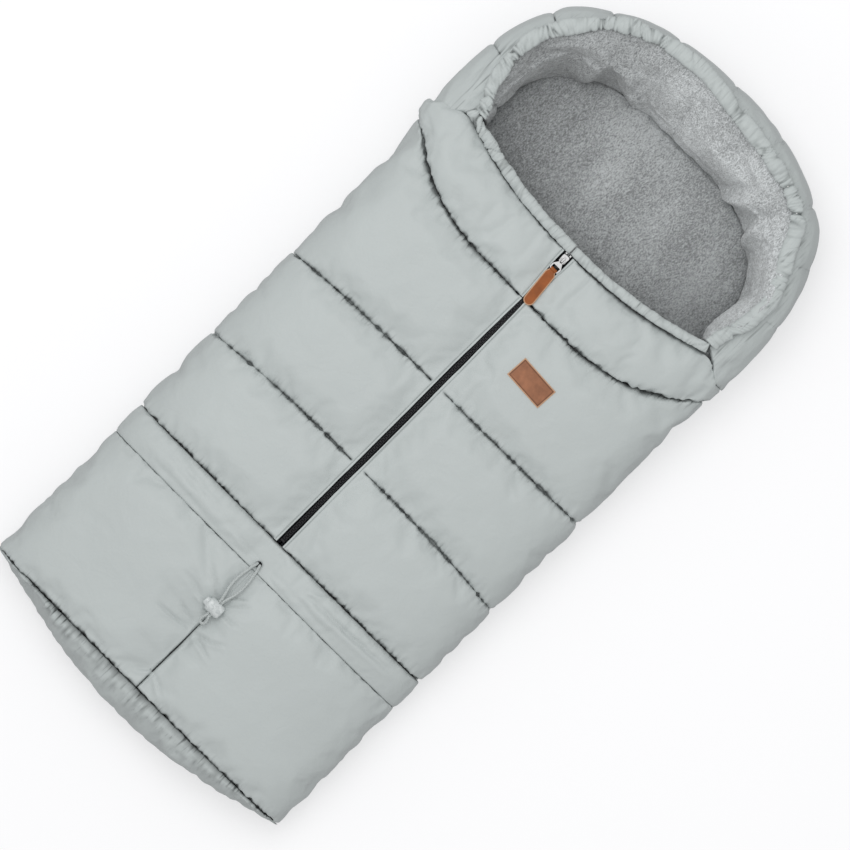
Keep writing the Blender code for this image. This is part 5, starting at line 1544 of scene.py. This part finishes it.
def liningEdge(y):
    return lining["zipEdge"]


def makeLinings():
    # fleece behind the front and the foot
    depth = bag["quiltThick"] + lining["clear"]
    for word, side in (("left", -1.0), ("right", 1.0)):
        rows = [*(index / lining["rows"] for index in range(lining["rows"])), *lining["lastRows"]]
        channels = [(at(bag["bandY"] + 0.0005), liningTop, rows)]
        shares = [index / lining["columns"] for index in range(lining["columns"] + 1)]
        outer = frontPlace(side, channels, liningEdge, 0.0, depth, shares, lip=False)
        inner = frontPlace(side, channels, liningEdge, 0.0, depth + bag["liningThick"], shares, lip=False)

        def inside(u, v):
            point, near = inner(u, v)[:2]
            return toHem(point), near

        name = "frontLining" + word.title()
        item = openSkin(name, lining["columns"], len(rows) - 1, inside, (0.3, 0.5), downwards, fleece)
        closeSkin(item, lambda u, v: toHem(outer(u, v)[0]))
        refine(item)
        pile(item, lining["pile"], side)
        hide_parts("front_lining_" + word + "_side", "front_lining_" + word + "_flap")
        foldBlend(item, word, side)
    rows = [index / lining["footRows"] for index in range(lining["footRows"] + 1)]
    ends = (bag["gussetY"] + 0.0002, bag["bandY"] - 0.0002)
    outer, columns = crossPlace(*ends, rows, depth, 0.0, 0.0)
    inner = crossPlace(*ends, rows, depth + bag["liningThick"], 0.0, 0.0)[0]
    size = (foot["pattern"], 0.24)
    item = openSkin("footLining", columns, lining["footRows"], inner, size, downwards, fleece)
    closeSkin(item, lambda u, v: outer(u, v)[0])
    pile(item, lining["pile"], 5.0)
    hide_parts("foot_lining")
    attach(item, "bag")


makeBack()
makeBackLining()
makeLinings()
print("back and linings")

# Zip: tapes, teeth, slider and puller

zipper = {
    "middle": 0.0957, "tapeInner": 0.0010, "tapeWide": 0.0130, "tapeThick": 0.0006, "tapeTop": 0.0944,
    "low": -0.236, "high": 0.232, "pitch": 0.0052, "reach": 0.0012, "spine": 0.0018, "height": 0.0020,
    "toothHalf": 0.0011, "toothRoot": 0.0024, "toothTip": -0.0009,
    "bendY": -0.2485, "bendStep": 0.004, "bendCuts": 21,
}


def addBox(skin, low, high, bevel):
    made = bmesh.ops.create_cube(skin, size=1.0)["verts"]
    bmesh.ops.scale(skin, verts=made, vec=Vector(high) - Vector(low))
    bmesh.ops.translate(skin, verts=made, vec=(Vector(high) + Vector(low)) / 2.0)
    edges = list(dict.fromkeys(edge for point in made for edge in point.link_edges))
    bmesh.ops.bevel(skin, geom=edges, offset=bevel, segments=1, affect="EDGES", profile=0.5)


def sided(side, near, far, low, high):
    # corners of a box that lies between two distances on one side of the middle
    start = (min(side * near, side * far), *low)
    return start, (max(side * near, side * far), *high)


def cutAcross(skin):
    # more points along the strip where the zip bends at the foot of an open flap
    for step in range(zipper["bendCuts"]):
        parts = skin.verts[:] + skin.edges[:] + skin.faces[:]
        cut = (0.0, zipper["bendY"] + zipper["bendStep"] * step, 0.0)
        bmesh.ops.bisect_plane(skin, geom=parts, plane_co=cut, plane_no=(0.0, 1.0, 0.0))


def makeZip():
    tapeLow = zipper["tapeTop"] - zipper["tapeThick"]
    half = zipper["height"] / 2.0
    for word, side in (("left", -1.0), ("right", 1.0)):
        skin = bmesh.new()
        far = zipper["tapeInner"] + zipper["tapeWide"]
        ends = ((bag["bandY"] + 0.001, tapeLow), (bag["hemY"] + 0.0015, zipper["tapeTop"]))
        addBox(skin, *sided(side, zipper["tapeInner"], far, *ends), 0.0001)
        cutAcross(skin)
        tape = makeObject("zipTape" + word.title(), skin, tapeCloth, False)
        skin = bmesh.new()
        low, high = zipper["middle"] - 0.8 * half, zipper["middle"] + 0.8 * half
        ends = ((zipper["low"], low), (zipper["high"], high))
        addBox(skin, *sided(side, zipper["reach"], zipper["reach"] + zipper["spine"], *ends), 0.0004)
        cutAcross(skin)
        y = zipper["low"] + zipper["pitch"] * (0.75 if side > 0.0 else 0.25)
        while y < zipper["high"] - 0.001:
            low, high = y - zipper["toothHalf"], y + zipper["toothHalf"]
            ends = ((low, zipper["middle"] - half), (high, zipper["middle"] + half))
            addBox(skin, *sided(side, zipper["toothTip"], zipper["toothRoot"], *ends), 0.0003)
            y += zipper["pitch"]
        teeth = makeObject("zipTeeth" + word.title(), skin, toothPlastic, False)
        for item, name in ((tape, "zip_tape"), (teeth, "zip_teeth")):
            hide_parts(name + "_" + word)
            foldBlend(item, word, side)


def rounded(name, node, material, bevel, body, smooth=False):
    # a merged copy of a rigid piece with its edges rounded
    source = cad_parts[node]
    skin = bmesh.new()
    skin.from_mesh(source.data)
    bmesh.ops.transform(skin, matrix=source.matrix_world, verts=skin.verts)
    bmesh.ops.remove_doubles(skin, verts=skin.verts, dist=0.000003)
    bmesh.ops.dissolve_limit(skin, angle_limit=math.radians(2.0), verts=skin.verts, edges=skin.edges)
    least = math.radians(32.0)
    sharp = [edge for edge in skin.edges if edge.is_manifold and edge.calc_face_angle(0.0) > least]
    for face in skin.faces:
        face.smooth = smooth
    made = bmesh.ops.bevel(skin, geom=sharp, offset=bevel, segments=2, affect="EDGES", profile=0.5,
                           clamp_overlap=True)
    for face in made["faces"]:
        face.smooth = True
    item = makeObject(name, skin, material, False)
    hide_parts(node)
    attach(item, body)
    return item


makeZip()
rounded("zipSlider", "slider_body", metal, 0.00022, "slider")
rounded("zipPuller", "zip_puller", metal, 0.00030, "puller")
rounded("zipStopLeft", "zip_top_stop_left", metal, 0.0001, "left_flap")
rounded("zipStopRight", "zip_top_stop_right", metal, 0.0001, "right_flap")
rounded("zipStopFoot", "zip_bottom_stop", toothPlastic, 0.0001, "bag")
print("zip")

# Leather: the tab on the puller and the patch on the right half

tab = {
    "place": (0.0, 0.214, 0.0996), "length": 0.052, "half": 0.007, "neck": 0.0044, "shoulder": 0.0045,
    "thick": 0.0020, "drop": 0.0006, "turn": 6.0, "bore": 0.00152, "wall": 0.0009, "round": 0.0002,
    "rows": 70, "loopSteps": 28,
}
patch = {
    "x": 0.076, "y": 0.101, "length": 0.054, "width": 0.029, "thick": 0.0016, "turn": -3.5,
    "line": 0.0022, "lineWide": 0.00045, "lineDeep": 0.0004, "clear": 0.0005,
}
edgeSteps = (0.0, 0.00015, 0.0004, 0.0008, 0.0012, 0.0017, 0.0022, 0.0027, 0.0034)


def edgedShares(length, cell):
    # shares across a length, close together beside both ends
    middle = length - 2.0 * edgeSteps[-1]
    count = max(2, round(middle / cell))
    even = [edgeSteps[-1] + middle * index / count for index in range(1, count)]
    spots = [*edgeSteps, *even, *(length - step for step in reversed(edgeSteps))]
    return [spot / length for spot in spots]


def makeLeatherSheet(name, material, across, along, plan, thick, lineDepth):
    # plan gives a point in the sheet's middle and how far it lies from the sheet's edge
    def spot(u, v, way):
        point, inside = plan(across[round(u * (len(across) - 1))], along[round(v * (len(along) - 1))])
        bend = min(1.0, max(0.0, inside) / 0.0009)
        line = math.exp(-((inside - patch["line"]) / patch["lineWide"]) ** 2) * lineDepth
        half = thick / 2.0 * math.sqrt(max(0.0, 1.0 - (1.0 - bend) ** 2.0))
        # pale: the cut edge's own paler colour with a painted highlight
        pale = 1.0 - smoothStep((inside - 0.0007) / 0.0009)
        return point + Vector((0.0, 0.0, way * half - max(0.0, way) * line * patch["lineDeep"])), pale, line

    def over(u, v):
        return spot(u, v, 1.0)

    item = openSkin(name, len(across) - 1, len(along) - 1, over, (0.03, 0.05), upwards, material)
    closeSkin(item, lambda u, v: spot(u, v, -1.0)[0])
    return item


def tabPlan(u, v):
    # the blade: a narrow neck, shoulders, straight sides and a round end, turned a little
    start = -(tab["bore"] + tab["wall"] * 0.4)
    end = -tab["length"] + tab["half"]
    y = mixed(-tab["length"], start, v)
    half = mixed(tab["neck"], tab["half"], min(1.0, (start - y) / tab["shoulder"]))
    if y < end:
        half = math.sqrt(max(0.0, tab["half"] ** 2 - (end - y) ** 2))
    x = (2.0 * u - 1.0) * half
    inside = half - abs(x)
    if y < end:
        inside = tab["half"] - math.hypot(x, end - y)
    angle = math.radians(tab["turn"]) * smoothStep((start - y) / tab["shoulder"])
    place = Vector(tab["place"])
    run = y - start
    place.x += x * math.cos(angle) - run * math.sin(angle)
    place.y += start + x * math.sin(angle) + run * math.cos(angle)
    place.z += tab["thick"] / 2.0 - tab["drop"]
    return place, inside


def makeTab():
    across = edgedShares(2.0 * tab["half"], 0.0012)
    even = [index / tab["rows"] for index in range(tab["rows"] + 1)]
    along = [mixed(1.0 - math.cos(math.pi / 2.0 * share), share, 0.45) for share in even]
    item = makeLeatherSheet("leatherTab", tabLeather, across, along, tabPlan, tab["thick"], 0.0)
    loop = bmesh.new()
    loop.from_mesh(item.data)
    middle = Vector(tab["place"])
    rings = []
    wide, bore, steps = tab["neck"], tab["bore"], tab["loopSteps"]
    rim = bore + tab["wall"]
    half = ((wide, bore), (wide, rim - tab["round"]), (wide - tab["round"], rim))
    for x, radius in [(-x, radius) for x, radius in half] + list(reversed(half)):
        turns = [2.0 * math.pi * step / steps for step in range(steps)]
        ring = [middle + Vector((x, radius * math.cos(turn), radius * math.sin(turn))) for turn in turns]
        rings.append([loop.verts.new(point) for point in ring])
    made = []
    for near, far in zip(rings, rings[1:] + rings[:1]):
        for step in range(steps):
            after = (step + 1) % steps
            made.append(loop.faces.new((near[step], near[after], far[after], far[step])))
    bmesh.ops.recalc_face_normals(loop, faces=made)
    loop.to_mesh(item.data)
    loop.free()
    item.data.shade_smooth()
    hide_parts("leather_tab")
    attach(item, "tab")


def fittedHeight(name):
    # a smooth surface through what lies under the patch, just clear of its wrinkles
    graph = bpy.context.evaluated_depsgraph_get()
    tree = BVHTree.FromObject(bpy.data.objects[name], graph)
    spots = []
    for u in np.linspace(-0.52, 0.52, 15):
        for v in np.linspace(-0.55, 0.55, 11):
            x = patch["x"] + u * patch["length"]
            y = patch["y"] + v * patch["width"]
            spots.append((x, y, tree.ray_cast(Vector((x, y, 0.3)), Vector((0.0, 0.0, -1.0)))[0].z))
    x, y, z = np.array(spots).T
    terms = np.stack([np.ones_like(x), x, y, x * x, x * y, y * y], axis=1)
    fit = np.linalg.lstsq(terms, z, rcond=None)[0]
    clear = float(np.max(z - terms @ fit))
    return lambda x, y: float(np.dot(fit, (1.0, x, y, x * x, x * y, y * y))) + max(0.0, clear - 0.0008)


def makePatch():
    height = fittedHeight("frontQuiltRight")
    turn = math.radians(patch["turn"])

    def plan(u, v):
        run = (u - 0.5) * patch["length"]
        rise = (v - 0.5) * patch["width"]
        inside = min(patch["length"] / 2.0 - abs(run), patch["width"] / 2.0 - abs(rise))
        x = patch["x"] + run * math.cos(turn) - rise * math.sin(turn)
        y = patch["y"] + run * math.sin(turn) + rise * math.cos(turn)
        return Vector((x, y, height(x, y) + patch["clear"])), inside

    across = edgedShares(patch["length"], 0.0018)
    along = edgedShares(patch["width"], 0.0018)
    item = makeLeatherSheet("leatherPatch", patchLeather, across, along, plan, patch["thick"], 1.0)
    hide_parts("leather_patch")
    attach(item, "right_flap")


makeTab()
makePatch()
print("leather")

# Drawcord, its eyelet and lock, and the elastic in the hood's rim

cord = {
    "radius": 0.0017, "apart": 0.0017, "eyeY": -0.278, "eyeZ": 0.09646, "over": 0.10031, "eyeDeep": 0.0043,
    "lockY": -0.351, "lockZ": 0.104025, "lockRadius": 0.0088, "reach": 0.0030, "bow": 0.0040,
    # steps of one half of the loop, from the eyelet over its rim and past the lock to the tip
    "overRim": (
        (0.0004, 0.0004, -0.0008), (0.0007, 0.0020, 0.0004), (0.0013, 0.0044, 0.0004), (0.0022, 0.0072, 0.0)),
    "tail": (
        (0.0, 0.0, 0.0), (0.0010, 0.0035, -0.0008), (0.0018, 0.0070, -0.0018), (0.0013, 0.0100, -0.0024)),
    "tip": (0.0118, 0.0027), "sides": 14, "finer": 4,
}
eyelet = {"hole": 0.0038, "radius": 0.0050, "base": 0.09726, "height": 0.0011, "steps": 32}


def smoothLine(points, steps):
    # more points on a smooth line through the given ones
    line = []
    for index in range(len(points) - 1):
        first = points[max(0, index - 1)]
        second, third = points[index], points[index + 1]
        fourth = points[min(len(points) - 1, index + 2)]
        for step in range(steps):
            t = step / steps
            bend = 2.0 * second + (third - first) * t
            bend += (2.0 * first - 5.0 * second + 4.0 * third - fourth) * t * t
            line.append((bend + (3.0 * second - first - 3.0 * third + fourth) * t ** 3) * 0.5)
    return line + [points[-1]]


def cordRoute():
    # out of the eyelet, through the lock, round the end and back
    apart, eyeY, over = cord["apart"], cord["eyeY"], cord["over"]
    half = [Vector((apart + 0.0003, eyeY, z)) for z in (cord["eyeZ"] - cord["eyeDeep"], over - 0.0030)]
    for x, y, z in cord["overRim"]:
        half.append(Vector((apart + x, eyeY - y, over + z)))
    start = half[-1]
    reach = cord["lockRadius"] + cord["reach"]
    end = Vector((apart, cord["lockY"] + reach, cord["lockZ"]))
    for index in range(1, 13):
        share = index / 12
        spot = start.lerp(end, share)
        spot.x += cord["bow"] * math.sin(math.pi * share) ** 1.2
        spot.z = mixed(start.z, end.z, smoothStep(share))
        half.append(spot)
    tailY = cord["lockY"] - reach
    half.append(Vector((apart, cord["lockY"], cord["lockZ"])))
    for x, y, z in cord["tail"]:
        half.append(Vector((apart + x, tailY - y, cord["lockZ"] + z)))
    tip = Vector((0.0, tailY - cord["tip"][0], cord["lockZ"] - cord["tip"][1]))
    mirrored = [Vector((-spot.x, spot.y, spot.z)) for spot in reversed(half)]
    return smoothLine([*half, tip, *mirrored], cord["finer"])


def makeTube(name, points, radius, sides, material):
    # a round tube along a line of close points, whose rings don't twist
    length = runLengths(points)[-1]
    aside = None
    rings = []
    for index, point in enumerate(points):
        along = (points[min(len(points) - 1, index + 1)] - points[max(0, index - 1)]).normalized()
        aside = aside - along * aside.dot(along) if aside else along.orthogonal()
        aside.normalize()
        other = along.cross(aside)
        turns = [2.0 * math.pi * step / sides for step in range(sides + 1)]
        rings.append([point + (aside * math.cos(turn) + other * math.sin(turn)) * radius for turn in turns])
    last = len(points) - 1

    def place(u, v):
        return rings[round(v * last)][round(u * sides)], 0.0

    skin = gridSkin(sides, last, place, (1.0, length))
    closeTube(skin)
    return makeObject(name, skin, material), length


def makeDrawcord():
    barrel = rounded("lockBarrel", "lock_barrel", lockPlastic, 0.0005, "lock", True)
    button = rounded("lockButton", "lock_button", lockPlastic, 0.0003, "button", True)
    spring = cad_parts["lock_spring"]
    spring.data.materials[0] = steel
    points = cordRoute()
    item, length = makeTube("drawCord", points, cord["radius"], cord["sides"], braid)
    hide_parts("drawcord")
    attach(item, "bag")
    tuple(points[0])


def makeEyelet():
    hole, radius, base, height = (eyelet[name] for name in ("hole", "radius", "base", "height"))
    profile = [(hole, -0.0040), (hole + 0.0005, -0.0040), (hole + 0.0005, -0.0002), (radius, 0.0)]
    profile += [(radius - 0.0001, height * 0.5), (mixed(hole, radius, 0.7), height * 0.95)]
    profile += [(mixed(hole, radius, 0.35), height), (hole + 0.0001, height * 0.75), (hole, height * 0.4)]
    skin = bmesh.new()
    rings = []
    for step in range(eyelet["steps"]):
        turn = 2.0 * math.pi * step / eyelet["steps"]
        across, along = math.cos(turn), math.sin(turn)
        ring = [(away * across, cord["eyeY"] + away * along, base + up) for away, up in profile]
        rings.append([skin.verts.new(spot) for spot in ring])
    for here, there in zip(rings, rings[1:] + rings[:1]):
        for index in range(len(profile)):
            after = (index + 1) % len(profile)
            skin.faces.new((here[index], there[index], there[after], here[after]))
    bmesh.ops.recalc_face_normals(skin, faces=skin.faces)
    # a dark disc in the hole is painted shade
    shadeDisc = bmesh.ops.create_circle(skin, cap_ends=True, radius=hole + 0.0002, segments=24)["verts"]
    bmesh.ops.translate(skin, verts=shadeDisc, vec=(0.0, cord["eyeY"], base + 0.0002))
    shadeDisc[0].link_faces[0].material_index = 1
    item = makeObject("cordEyelet", skin, eyeletPaint)
    item.data.materials.append(tapeCloth)
    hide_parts("cord_eyelet")
    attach(item, "bag")


def makeRimElastic():
    points = [rimPath(index / 120.0)[0] for index in range(121)]
    item = makeTube("hoodElastic", points, 0.0017, 10, elasticCloth)[0]
    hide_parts("hood_elastic")
    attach(item, "bag")


makeDrawcord()
makeEyelet()
makeRimElastic()
print("drawcord")

# Floor


def makeFloor():
    floor = bmesh.new()
    bmesh.ops.create_grid(floor, x_segments=1, y_segments=1, size=6.0)
    look = bpy.data.materials.new("floor")
    look.use_nodes = True
    tree = look.node_tree
    shader = tree.nodes["Principled BSDF"]
    shader.inputs["Base Color"].default_value = (0.46, 0.46, 0.47, 1.0)
    shader.inputs["Roughness"].default_value = 0.9
    shader.inputs["Specular IOR Level"].default_value = 0.0
    glow = tree.nodes.new("ShaderNodeEmission")
    both = tree.nodes.new("ShaderNodeAddShader")
    rays = tree.nodes.new("ShaderNodeLightPath")
    seen = Value(tree, rays.outputs["Is Camera Ray"])
    tree.links.new((seen * light["floorGlow"]).socket, glow.inputs["Strength"])
    tree.links.new(shader.outputs[0], both.inputs[0])
    tree.links.new(glow.outputs[0], both.inputs[1])
    tree.links.new(both.outputs[0], tree.nodes["Material Output"].inputs["Surface"])
    item = makeObject("floor", floor, look, False)


makeFloor()
print("floor")
